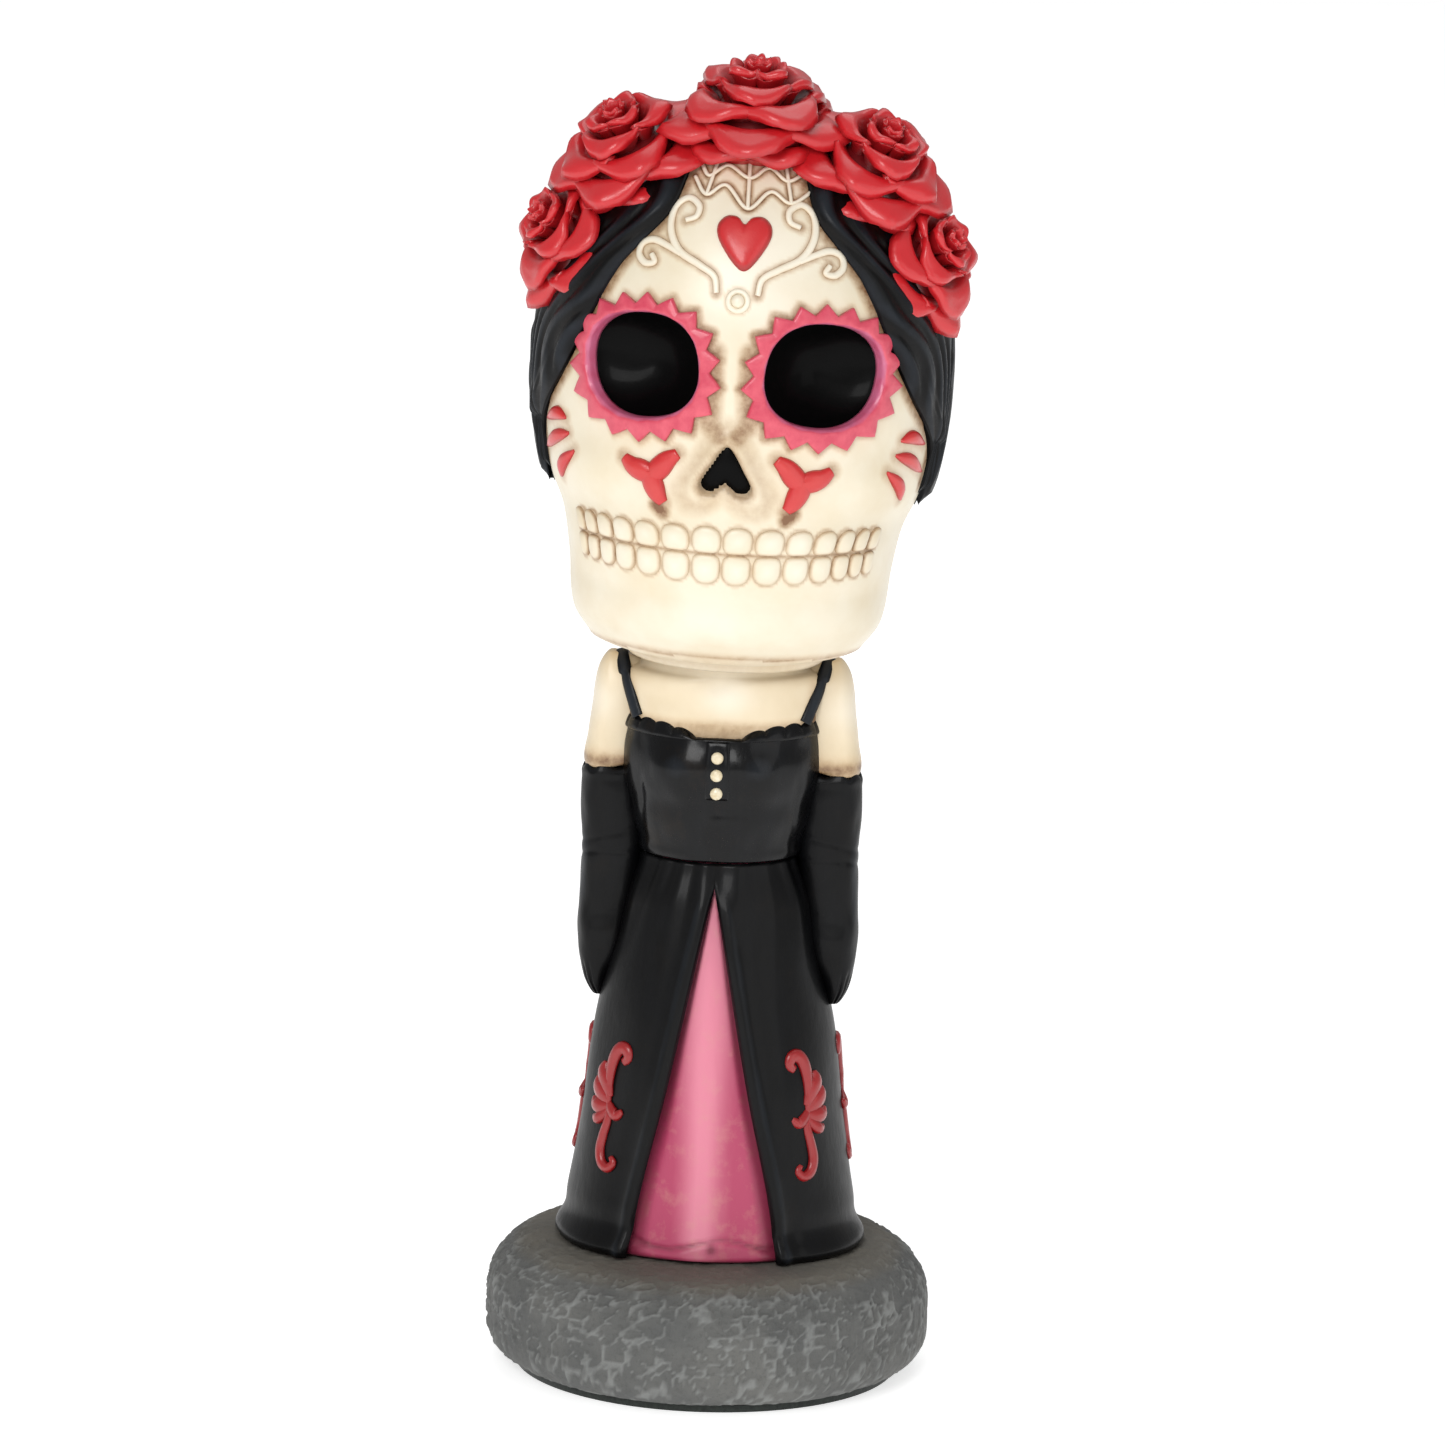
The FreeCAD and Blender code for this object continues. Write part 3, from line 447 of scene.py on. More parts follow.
def blackPaint(name, rough, sheen, gold, fixedCoat, grain=1.2):
    # black paint with streaks of painted cool sheen and a painted highlight on edges and swells, worn a
    # little warm in places
    paint = Paint(name, Coat_Weight=fixedCoat, Coat_Roughness=0.13, Specular_IOR_Level=0.16)
    tint = paint.attribute("tint")
    streaks = paint.cloud(grain * 3, 4, 0.6, paint.stretched(1, 1, 0.3))
    patches = paint.cloud(6, 4, 0.6)
    brush = paint.cloud(grain, 5, 0.6, paint.stretched(1, 1, 0.4))
    # streaks of painted cool sheen
    base = paint.mix(paint.ramp(streaks, (0.45, 0), (0.8, sheen)), colour(3, 3, 4), colour(22, 25, 30))
    # paler blue-grey painted as highlight on rolled edges, swells and the tops of raised pieces
    base = paint.mix(paint.ramp(tint * (streaks + 0.4), (0.3, 0), (1, 0.5)), base, colour(48, 54, 62))
    base = paint.mix(paint.ramp(patches, (0.58, 0), (0.8, gold)), base, colour(38, 27, 14))
    return paint.coat(base, rough + brush * 0.18, brush + patches, 0.12, 0.45)


blackSatin = blackPaint("black_satin", 0.34, 0.2, 0.12, 0.1)
blackGloss = blackPaint("black_gloss", 0.2, 0.3, 0.4, 0.22)


def hairPaint():
    paint = Paint("hair_black", Coat_Weight=0.08, Coat_Roughness=0.22, Specular_IOR_Level=0.16)
    tint, wash = paint.attribute("tint"), paint.attribute("wash")
    patches = paint.cloud(5, 4, 0.6)
    fine = paint.cloud(0.8, 4, 0.65)
    # blue-grey painted highlight on the tops of the combed strands
    shine = paint.ramp(tint * (patches + 0.45), (0.35, 0), (1, 0.6))
    base = paint.mix(shine, colour(3, 3, 4), colour(44, 50, 58))
    base = paint.mix(paint.ramp(wash * patches, (0.2, 0), (0.7, 0.6)), base, colour(44, 30, 16))
    return paint.coat(base, 0.32 + fine * 0.2, fine, 0.1, 0.4)


hairBlack = hairPaint()


def cupPaint():
    paint = Paint("socket_black", Coat_Weight=0.05, Coat_Roughness=0.14, Specular_IOR_Level=0.06)
    fine = paint.cloud(1.1, 4, 0.6)
    base = paint.mix(fine, colour(2, 2, 2), colour(6, 6, 6))
    return paint.coat(base, 0.36 + fine * 0.16, fine, 0.1, 0.4)


socketBlack = cupPaint()


def stonePaint():
    # grey stone with paler ridges between its chipped hollows, browner on top
    paint = Paint("stone_paint", Specular_IOR_Level=0.35)
    ridge, top = paint.attribute("wash"), paint.attribute("tint")
    patches = paint.cloud(11, 4, 0.6)
    grit = paint.cloud(0.7, 5, 0.7)
    base = paint.mix(paint.ramp(patches, (0.35, 0), (0.7, 1)), colour(88, 89, 88), colour(106, 106, 103))
    base = paint.mix(paint.ramp(grit, (0.5, 0), (0.8, 0.6)), base, colour(70, 70, 68))
    pale = paint.ramp(ridge * (grit + patches * 0.8), (0.25, 0), (0.95, 0.65))
    base = paint.mix(pale, base, colour(142, 144, 142))
    base = paint.mix(paint.ramp(top * (patches + 0.4), (0.2, 0), (0.95, 0.6)), base, colour(104, 98, 86))
    return paint.coat(base, 0.62 + grit * 0.2, grit, 0.16, 0.6)


stoneGrey = stonePaint()


def plainPaint(name, light, dark, rough, size, **fixed):
    paint = Paint(name, **fixed)
    pattern = paint.cloud(size, 4, 0.6)
    base = paint.mix(paint.ramp(pattern, (0.35, 0), (0.7, 1)), light, dark)
    return paint.coat(base, rough + pattern * 0.1, pattern, 0.08, 0.35)


creamTrim = plainPaint("cream_trim", colour(236, 226, 200), colour(208, 188, 146), 0.28, 1.0, Coat_Weight=0.4)
steel = plainPaint("steel_spring", colour(168, 170, 174), colour(120, 122, 126), 0.25, 1.4, Metallic=1.0)
seatPlastic = plainPaint("seat_plastic", colour(205, 200, 188), colour(190, 184, 170), 0.42, 2.0)
feltGreen = plainPaint("felt", colour(44, 50, 46), colour(26, 30, 28), 0.85, 0.5, Sheen_Weight=0.4)


def dowelPaint():
    paint = Paint("wood_dowel")
    grain = paint.cloud(1.2, 4, 0.6, paint.stretched(1, 1, 0.06))
    base = paint.mix(paint.ramp(grain, (0.35, 0), (0.7, 1)), colour(214, 178, 128), colour(166, 122, 76))
    return paint.coat(base, 0.55 + grain * 0.15, grain, 0.1, 0.4)


dowelWood = dowelPaint()
for nodeName, paint in (("felt_pad", feltGreen), ("armature_dowel", dowelWood),
                        ("spring_seat_lower", seatPlastic), ("spring_seat_upper", seatPlastic)):
    nodes[nodeName].data.materials.clear()
    nodes[nodeName].data.materials.append(paint)
print("paints mixed")

# stone base: turned, then chipped all over
base = {"radius": 32.5, "low": 1, "top": 19, "topRound": 8.2, "footRound": 5.0, "cell": 2.3, "chip": 0.42,
        "columns": 400, "rows": 110, "boreRadius": 3.1, "boreLow": 6.9}


def baseLine():
    # half the base's outline from the middle underneath, round the side and to the dowel's bore
    radius, foot, top = base["radius"] - 0.02, base["footRound"], base["topRound"]
    line = [(0, base["low"]), (radius - foot, base["low"])]
    for step in range(1, 9):
        angle = step / 8 * math.pi / 2
        line.append((radius - foot + foot * math.sin(angle), base["low"] + foot - foot * math.cos(angle)))
    for step in range(9):
        angle = step / 8 * math.pi / 2
        line.append((radius - top + top * math.cos(angle), base["top"] - 0.1 - top + top * math.sin(angle)))
    bore = base["boreRadius"]
    return line + [(bore + 0.2, base["top"] - 0.1), (bore, base["top"] - 0.4), (bore, base["boreLow"]),
                   (0, base["boreLow"])]


def makeBase():
    line = baseLine()
    mesh = bmesh.new()
    low = [mesh.verts.new((radius, 0, height)) for radius, height in line]
    edges = [mesh.edges.new(ends) for ends in zip(low, low[1:])]
    longest = [edge for edge in edges if edge.calc_length() > 1.2 and edge.verts[0].co.x > 4]
    for edge in longest:
        bmesh.ops.subdivide_edges(mesh, edges=[edge], cuts=int(edge.calc_length() / 0.5))
    bmesh.ops.spin(mesh, geom=mesh.verts[:] + mesh.edges[:], cent=(0, 0, 0), axis=(0, 0, 1), angle=math.tau,
                   steps=base["columns"], use_merge=True)
    bmesh.ops.remove_doubles(mesh, verts=mesh.verts, dist=0.001)
    bmesh.ops.recalc_face_normals(mesh, faces=mesh.faces)
    mesh.normal_update()
    wash = mesh.verts.layers.float.new("wash")
    tint = mesh.verts.layers.float.new("tint")
    for vertex in mesh.verts:
        x, y, z = vertex.co
        radius = math.hypot(x, y)
        if radius < 4 or z < base["low"] + 0.01:
            continue
        warp = noise.noise_vector(vertex.co / 5) * 1.2 + noise.noise_vector(vertex.co / 1.6) * 0.45
        distances, _ = noise.voronoi((vertex.co + warp) / base["cell"])
        ridge = 1 - smooth(0.0, 0.2, distances[1] - distances[0])
        ridge *= smooth(-0.75, 0.1, noise.noise(vertex.co / 3.1))
        swell = noise.noise(vertex.co / 14) * 0.35
        calm = 1 - 0.5 * smooth(18.2, 18.9, z)
        outward = Vector((x, y, 0)).normalized() if z < 12 else vertex.normal
        chip = base["chip"] * (ridge - 0.75) + noise.noise(vertex.co / 1.3) * 0.1 + swell
        vertex.co += outward * min(chip, 0) * calm
        vertex.co.z = min(vertex.co.z, base["top"] - 0.05)
        vertex[wash] = ridge * calm
        vertex[tint] = smooth(16.5, 18.8, z)
    finished("stone_base_cast", mesh, stoneGrey, "figure", ["stone_base"])


makeBase()
print("base chipped")

# skirts
skirt = {"tall": 58, "halfWide": 22.7, "halfDeep": 19.5, "wall": 1.7, "slitHalfWide": 11.3, "slitTall": 54.5,
         "roll": 0.34,
         "rings": ((0, 1, 1), (.11, .935, .935), (.24, .885, .885), (.43, .828, .828), (.57, .771, .771),
                   (.74, .678, .69), (1, .537, .56))}


def skirtSize(z):
    wide, deep = between(skirt["rings"], (z - figure["standZ"]) / skirt["tall"])
    return wide * skirt["halfWide"], deep * skirt["halfDeep"]


def skirtPoint(turn, z, inset=0.0):
    wide, deep = skirtSize(z)
    return Vector(((wide - inset) * math.sin(turn), -(deep - inset) * math.cos(turn), z))


def slitTurn(z):
    # half the slit's opening at a height, as a turn from the front
    high = figure["standZ"] + skirt["slitTall"]
    share = max((high - z) / skirt["slitTall"], 0) * (1 + 0.05 * bell(z, 30, 10))
    return math.asin(min(skirt["slitHalfWide"] * share / skirtSize(max(z, 19.0))[0], 0.9))


def makeSkirts():
    low, high = figure["standZ"] + 0.15, figure["waistZ"] - 0.05

    def overPlace(across, along):
        # along goes up the outside, over the waist and down the inside
        outside = along <= 0.5
        share = along * 2 if outside else (1 - along) * 2
        z = low + (high - low) * share
        start = slitTurn(z)
        near = 2 * across if across < 0.5 else 2 - 2 * across
        spread = near ** 1.6 if near < 1 else 1
        turn = start + (math.pi - start) * spread
        turn = turn if across < 0.5 else math.tau - turn
        wide, _ = skirtSize(z)
        fromEdge = (math.pi - start) * spread * wide
        parted = smooth(75, 70, z)
        edge = smooth(0, 0.5, fromEdge)
        if outside:
            inset = 0.25 + (1 - edge ** 0.5) * 0.7 * parted + 0.7 * smooth(70, 77, z)
            inset -= skirt["roll"] * bell(fromEdge, 1.3, 0.9) * parted * smooth(19, 40, 100 - z)
            inset += 0.14 * bell(fromEdge, 3.6, 1.3) * parted
            inset -= 0.45 * bell(z, 20.4, 1.3)
            inset += 0.3 * bell(z, 23.4, 1.6)
            inset += 0.35 * (1 - smooth(0, 0.012, share))
            inset += noise.noise(Vector((math.sin(turn) * 1.8, math.cos(turn) * 1.8, z / 16))) * 0.45
            inset += 0.16 * math.sin(turn * 17 + noise.noise((turn, 0, z / 20)) * 3) * smooth(58, 75, z)
        else:
            inset = skirt["wall"] - 0.1 - (1 - edge) * 0.5 * parted
        # painted highlight along the slit's rolled edges and along the hem
        light = bell(fromEdge, 1.7, 0.8) * parted * 0.55 + bell(z, 20.2, 1.0) * 0.25 if outside else 0
        return skirtPoint(turn, z, inset), 0, light
    mesh = bent(260, 190, overPlace)
    bmesh.ops.holes_fill(mesh, edges=[edge for edge in mesh.edges if edge.is_boundary], sides=4)
    loose = [edge for edge in mesh.edges if edge.is_boundary]
    if loose:
        bmesh.ops.bridge_loops(mesh, edges=loose)
    bmesh.ops.recalc_face_normals(mesh, faces=mesh.faces)
    finished("overskirt_cast", mesh, blackSatin, "figure", ["overskirt"])

    def underPlace(across, along):
        turn = across * math.tau
        side = (turn + math.pi) % math.tau - math.pi
        if along < 0.04:
            return skirtPoint(turn, low, 3 + 15 * (1 - along / 0.04)), 0.5, 0
        if along > 0.96:
            return skirtPoint(turn, high - 0.3, 3 + 11 * (along - 0.96) / 0.04), 0, 0
        share = (along - 0.04) / 0.92
        z = low + (high - 0.3 - low) * share
        inset = skirt["wall"] + 0.25
        parted = max(slitTurn(z), 0.02)
        inside = abs(side) / parted
        fold = 0.45 * math.cos(side * 9.5 + 0.5) * smooth(72, 45, z)
        inset += 0.35 - fold * 0.8 + 0.5 * smooth(0.75, 1.1, inside)
        hemLine = 21.6 + 0.8 * math.sin(side * 7 + 0.6)
        inset += 0.35 * bell(z, hemLine, 0.28) - 0.25 * smooth(hemLine, hemLine - 0.7, z)
        inset += 0.5 * (1 - smooth(0, 0.01, share))
        # painted shade by the overskirt's edges, along the hem's crease and below the hem
        dark = 0.75 * smooth(0.72, 1.0, inside) + 0.6 * bell(z, hemLine, 0.3) + 0.25 * smooth(22.3, 21, z)
        dark += 0.9 * bell(z, 21.2, 0.7) * bell(side * 18, 1.3, 0.6)
        # painted highlight down the middle of the front, weaker below the hem
        light = bell(side * 18 * smooth(85, 20, z), -0.4, 2.6) * (1 - smooth(22.4, 21.2, z) * 0.6)
        return skirtPoint(turn, z, max(inset, skirt["wall"] + 0.12)), min(dark, 1), light
    finished("underskirt_cast", bent(300, 150, underPlace), pinkPaint, "figure", ["underskirt"])


makeSkirts()
print("skirts draped")

# bodice, lace, placket and buttons
bodice = {"tall": 18.6, "halfWide": 14.9, "halfDeep": 12.6, "laceTall": 2.0, "scallops": 26,
          "rings": ((0, .87, .89), (.35, .92, .95), (.72, 1, 1), (1, .97, .93)),
          "buttons": (92.9, 90.4, 87.8), "buttonRadius": 0.9, "panelHalfWide": 1.85}
bust = {"halfWide": 14.2, "halfDeep": 10.4, "sunk": 7.6, "tall": 13.4, "wellRadius": 6.5, "wellZ": 98,
        "rings": ((0, .9, .97), (.08, .93, .98), (.36, .99, 1), (.6, 1.01, .98), (.7, 1.03, .98),
                  (.755, .99, .98), (.79, .88, .97), (1, .75, 1))}


def bodiceForm(turn, z):
    share = (z - figure["waistZ"]) / bodice["tall"]
    wide, deep = between(bodice["rings"], share)
    wide, deep = wide * bodice["halfWide"] - 0.15, deep * bodice["halfDeep"] - 0.35
    x = wide * math.sin(turn)
    front = max(math.cos(turn), 0)
    swell = 0.75 * bell(abs(x), 6.2, 3.6) * bell(z, 90.6, 3.6) * front - 0.5 * bell(z, 85.2, 1.8) * front
    swell -= 0.45 * bell(x, 0, 1.2) * bell(z, 91, 3.2) * front
    swell -= 0.22 * bell(abs(x), 11.4, 0.5) * front * smooth(92, 86, z)
    swell += 0.2 * bell(z, 77.9, 0.7) - 1.05 * bell(z, 77.0, 5.0)
    swell += 0.18 * noise.noise(Vector((x / 3, math.cos(turn) * 4, z / 3.5)))
    return wide, deep, swell, front


def bodicePoint(turn, z, lift=0.0):
    wide, deep, swell, _ = bodiceForm(turn, z)
    grow = swell + lift
    return Vector(((wide + grow) * math.sin(turn), -(deep + grow) * math.cos(turn), z))


def bodiceSurface(x, z):
    wide, deep, swell, _ = bodiceForm(0, z)
    turn = math.asin(max(min(x / wide, 0.95), -0.95))
    point = bodicePoint(turn, z)
    aside, above = bodicePoint(turn + 0.02, z), bodicePoint(turn, z + 0.2)
    return point, (aside - point).cross(above - point).normalized()


def makeBodice():
    low, high = figure["waistZ"] + 0.05, figure["bodiceTopZ"] - 0.05

    def place(across, along):
        turn = across * math.tau
        if along < 0.05:
            point = bodicePoint(turn, low, -0.2)
            shrink = along / 0.05
            return Vector((point.x * shrink, point.y * shrink, low)), 0, 0
        if along > 0.95:
            point = bodicePoint(turn, high, -0.2)
            shrink = (1 - along) / 0.05
            return Vector((point.x * shrink, point.y * shrink, high)), 0, 0
        z = low + (high - low) * (along - 0.05) / 0.9
        x = bodice["halfWide"] * math.sin(turn)
        front = max(math.cos(turn), 0)
        # painted highlight over the bust and along the step at the waist
        light = (0.75 * bell(abs(x), 6, 2.6) * bell(z, 91.4, 2.2) + 0.3 * bell(z, 78, 0.7)) * front
        return bodicePoint(turn, z), 0, light
    finished("bodice_cast", bent(260, 110, place), blackGloss, "figure", ["bodice"])

    def laceEdge(turn):
        # the neckline dips at the middle of the front, and each scallop is rounded
        side = abs((turn + math.pi) % math.tau - math.pi)
        dip = 97.35 - 2.4 * bell(side, 0, 0.36) + 0.1 * math.sin(side * 2)
        return dip + 0.5 * abs(math.sin(turn * bodice["scallops"] / 2)) ** 0.7 - 0.35

    def lacePlace(across, along):
        turn = across * math.tau
        edge = laceEdge(turn)
        angle = along * math.tau
        low = figure["bodiceTopZ"] - 0.35
        middle, half = (low + edge) / 2, (edge - low) / 2
        rise = math.sin(angle)
        z = middle + half * math.copysign(abs(rise) ** 0.6, rise)
        thick = 0.42 * math.copysign(abs(math.cos(angle)) ** 0.8, math.cos(angle))
        wide = bodice["halfWide"] * 0.97 - 0.1 + thick - 0.5 * smooth(low, edge, z)
        deep = bodice["halfDeep"] * 0.93 - 0.35 + thick - 0.85 * smooth(low, edge, z)
        # painted highlight along the tops of the scallops
        return Vector((wide * math.sin(turn), -deep * math.cos(turn), z)), 0, 0.6 * smooth(0.3, 1, rise)
    finished("neckline_lace_cast", bent(416, 14, lacePlace), blackGloss, "figure", ["neckline_lace"])

    # a raised front panel with a groove down each side
    half = bodice["panelHalfWide"]

    def panelPlace(across, along):
        x = (across * 2 - 1) * half
        share = min(max(along * 1.2 - 0.1, 0), 1)
        z = 86.6 + 8.7 * share
        point, normal = bodiceSurface(x, z)
        rise = (1 - abs(across * 2 - 1) ** 5) * (1 - abs(share * 2 - 1) ** 14)
        lift = -0.4 if along < 0.05 or along > 0.95 or across in (0, 1) else 0.34 * rise - 0.05
        # painted highlight on the raised middle of the panel
        return point + normal * lift, 0, 0.4 * rise
    mesh = closed(bent(24, 50, panelPlace))
    finished("button_placket_cast", mesh, blackGloss, "figure", ["button_placket"])

    buttons = []
    for z in bodice["buttons"]:
        point, normal = bodiceSurface(0, z)
        button = bmesh.new()
        bmesh.ops.create_uvsphere(button, u_segments=28, v_segments=16, radius=bodice["buttonRadius"])
        bmesh.ops.scale(button, vec=(1, 0.62, 1), verts=button.verts)
        bmesh.ops.translate(button, vec=point + normal * 0.42, verts=button.verts)
        buttons.append(button)
    finished("bodice_buttons_cast", joined(buttons), creamTrim, "figure", ["bodice_buttons"])


makeBodice()
print("bodice laced")


# bust with the spring's well
def makeBust():
    low = figure["bodiceTopZ"] - bust["sunk"]
    tall = bust["sunk"] + bust["tall"]
    rows = [(height, wide * bust["halfWide"], deep * bust["halfDeep"], low + tall * height)
            for height, wide, deep in bust["rings"]]
    rows[-1] = (*rows[-1][:3], low + tall - 0.6)
    rows += [(1.03, 10.3, 10.0, low + tall), (1.06, 8, 7.8, low + tall), (1.1, 6.9, 6.8, low + tall),
             (1.12, 6.55, 6.55, low + tall - 0.4), (1.3, 6.55, 6.55, bust["wellZ"]),
             (1.4, 0, 0, bust["wellZ"])]
    rows = [(-0.1, 0, 0, low), *rows]
    line = loftLine(rows, 400)

    def place(across, along):
        turn = across * math.tau
        wide, deep, z = lineAt(line, along)
        x, front = wide * math.sin(turn), math.cos(turn)
        outer = along < 0.6 and z > 90
        lift = 0.0
        if outer and front > 0:
            lift += 0.35 * bell(abs(x), 6.5, 3.5) * bell(z, 98.2, 2.4)
            lift -= 0.3 * bell(x, 0, 1.4) * bell(z, 97, 3)
            lift += 0.3 * bell(z, 103.4, 1) * bell(abs(x), 5, 3)
            lift -= 0.25 * bell(x, 0, 1.3) * bell(z, 103, 1.5)
        dark = 0
        if outer:
            # a darker band above the lace and beside the straps, and painted shade under the head's collar
            dark = smooth(98.9, 97, z) * 0.55 + 0.7 * smooth(104.5, 107.6, z)
            dark += 0.55 * bell(abs(x), 13.4, 1.2) * bell(z, 99, 5)
        # painted highlight in the middle of the chest
        light = 1.3 * bell(x, 1, 3.6) * bell(z, 101.4, 2.4) * max(front, 0)
        point = Vector((max(wide + lift, 0) * math.sin(turn), -max(deep + lift, 0) * front, z))
        return point, min(dark, 1), light
    mesh = bent(240, 150, place)
    tree = BVHTree.FromBMesh(mesh)
    finished("bust_cast", mesh, skin, "figure", ["bust"])
    return tree


bustTree = makeBust()

# arms and gloves
arms = {"out": 17.2, "inward": 3.4, "halfWide": 2.8, "halfDeep": 3.6, "low": 89, "tall": 15.8,
        "rings": ((0, .92, .92, .01), (.31, .93, .95, -.01), (.57, 1, 1, -.05), (.79, .9, .95, -.055),
                  (.95, .62, .72, -.045), (1.06, .3, .4, -.06))}
gloves = {"inward": 2.4, "halfWide": 3.3, "halfDeep": 4, "low": 54.8, "tall": 34.2, "scallops": 7,
          "rings": ((0, .3, .3, -.01), (.07, .5, .6, .03), (.25, .72, .85, .05), (.42, .85, .8, .02),
                    (.65, 1, .9, -.015), (1, .8, .83, .01))}


def limbLine(limb):
    rows = [(height, wide * limb["halfWide"], deep * limb["halfDeep"], -arms["out"] * (1 + middle),
             limb["low"] + limb["tall"] * height) for height, wide, deep, middle in limb["rings"]]
    first, last = rows[0], rows[-1]
    foot, tip = (-0.06, 0, 0, first[3], first[4]), (last[0] + 0.05, 0, 0, last[3], last[4] + 0.1)
    return loftLine([foot, *rows, tip], 300)


def makeArms():
    armLine = limbLine(arms)

    def armPlace(across, along):
        turn = across * math.tau
        wide, deep, middle, z = lineAt(armLine, along)
        # darker just above the glove's rim, painted shade on the side towards the body, and a painted
        # highlight on the outer front of the upper arm
        dark = 0.75 * bell(z, 90, 1.6) + 0.5 * smooth(0.2, 0.95, math.sin(turn)) * bell(z, 96, 7)
        light = bell(z, 99, 3.5) * smooth(0.2, 0.9, -math.sin(turn) * 0.6 + math.cos(turn) * 0.6)
        inward = arms["inward"] * smooth(-0.2, 0.9, math.sin(turn)) * smooth(88.9, 90, z)
        z -= 0.22 * inward * smooth(101, 105, z)
        point = Vector((middle + wide * math.sin(turn) + inward, -deep * math.cos(turn), z))
        return point, min(dark, 1), light
    mesh = bent(72, 80, armPlace)
    tree = BVHTree.FromBMesh(mesh)
    pair("upper_arm", mesh, skin, "figure")

    gloveLine = limbLine(gloves)

    def glovePlace(across, along):
        turn = across * math.tau
        wide, deep, middle, z = lineAt(gloveLine, along)
        lift = 0.0
        if z < 68:
            # thumb in front, fingers pressed together with creases between them
            thumb = bell(turn, 0.75, 0.5) * bell(z, 62.5, 3.6)
            lift += 0.55 * thumb - 0.4 * bell(turn, 1.35, 0.14) * bell(z, 61.5, 3.4)
            lift -= 0.28 * sum(bell(turn, place, 0.11) for place in (5.0, 5.5, 6.0)) * smooth(60.5, 58, z)
        lift += 0.16 * noise.noise(Vector((math.sin(turn) * 1.6, math.cos(turn) * 1.6, z / 3.4)))
        lift -= 0.12 * bell(z, 79 + 1.2 * math.sin(turn), 0.5) + 0.12 * bell(z, 75.6 + math.cos(turn), 0.45)
        edge = smooth(88.0, 88.7, z)
        z += 0.45 * edge * math.cos(turn * gloves["scallops"])
        lift += 0.22 * bell(z, 88.3, 0.7)
        # painted highlight down the glove's outer front and along its scalloped top
        light = 0.8 * bell(turn, 5.2, 0.5) * bell(z, 74, 9) + 0.4 * edge
        scale = min(min(wide, deep) / 1.2, 1)
        inward = gloves["inward"] * smooth(-0.1, 0.9, math.sin(turn)) * smooth(55, 65, z)
        return (Vector((middle + (wide + lift * scale) * math.sin(turn) + inward,
                        -(deep + lift * scale) * math.cos(turn), min(z, 89.3))), 0, light)
    mesh = bent(96, 150, glovePlace)
    pair("glove", mesh, blackSatin, "figure")
    return tree


armTree = makeArms()
print("arms and gloves on")

straps = {"halfWide": 1.0, "thick": 0.55, "hub": (-12.0, 0, 97.4), "outward": 0.38, "steps": 48,
          "lift": 0.25, "easing": 14, "sunk": 0.9}


def makeStraps():
    # points on the shoulder, found from outside towards a point inside it, then eased into a smooth line
    hub = Vector(straps["hub"])
    points, facings = [], []
    for step in range(straps["steps"] + 1):
        angle = math.pi * step / straps["steps"]
        rise = math.sin(angle)
        direction = Vector((-straps["outward"] * rise, -math.cos(angle), rise)).normalized()
        hits = [tree.ray_cast(hub + direction * 60, -direction) for tree in (bustTree, armTree)]
        hit = min((hit for hit in hits if hit[0]), key=lambda hit: hit[3])
        facings.append((hit[1] + direction).normalized())
        points.append(hit[0] + facings[-1] * straps["lift"])
    for _ in range(straps["easing"]):
        points = [points[0], *[(low + middle * 2 + high) / 4 for low, middle, high
                               in zip(points, points[1:], points[2:])], points[-1]]
    rows = [(count, *point, *facing) for count, (point, facing) in enumerate(zip(points, facings))]

    def surface(step, side):
        found = between(rows, step)
        return Vector(found[:3]), Vector(found[3:]).normalized()
    path = [(step, 0) for step in range(straps["steps"] + 1)]
    mesh = strand(path, surface, steady(straps["halfWide"]), steady(straps["thick"]), straps["sunk"],
                  90, 12)
    pair("strap", mesh, blackSatin, "figure")


makeStraps()

# red scrolls on the skirt
scrolls = {"z": 40.3, "turns": {"front": -50, "side": -100, "back": -148}, "high": 0.75,
           "strokes": (
               (((2.2, 6.9), (3.1, 7.6), (2.7, 8.7), (1.3, 8.8), (0.2, 7.4), (-0.3, 5.2), (-0.2, 2.6),
                 (0.2, 0)), 0.62),
               (((0.2, 0.4), (0.4, -1.8), (-0.2, -4.2), (-0.5, -6.4), (0.2, -8.2), (1.6, -8.8), (2.5, -7.9),
                 (1.9, -7.1)), 0.5),
               (((0.3, 1.4), (-0.9, 3.2), (-2.1, 4.8), (-2.0, 6.3)), 0.85),
               (((0.3, 0.8), (-1.5, 1.6), (-3.0, 2.7), (-3.5, 3.9)), 0.85),
               (((0.3, 0.2), (-1.5, -0.2), (-3.1, -0.1), (-4.0, 0.7)), 0.75),
               (((0.1, -0.4), (-1.2, -1.6), (-2.3, -2.2), (-3.3, -2.0)), 0.55),
               (((0.0, 0.6), (1.2, -0.5), (2.2, -0.9), (3.2, -0.2)), 0.55))}


def makeScrolls():
    for where, turned in scrolls["turns"].items():
        middle = math.radians(turned)

        def surface(x, z):
            turn = middle + x / 19
            point = skirtPoint(turn, scrolls["z"] + z, 0.2)
            aside = skirtPoint(turn + 0.02, scrolls["z"] + z, 0.2)
            above = skirtPoint(turn, scrolls["z"] + z + 0.3, 0.2)
            return point, (aside - point).cross(above - point).normalized()
        high = tapered(0.3, scrolls["high"], 0.3, 0.5)
        strokes = [strand(path, surface, tapered(0.6, wide * 1.7, 0.4, 0.5), high, 0.5, 28, 10, dark=0.3)
                   for path, wide in scrolls["strokes"]]
        pair(f"skirt_scroll_{where}", joined(strokes), scrollRed, "figure")


makeScrolls()
print("scrolls raised")

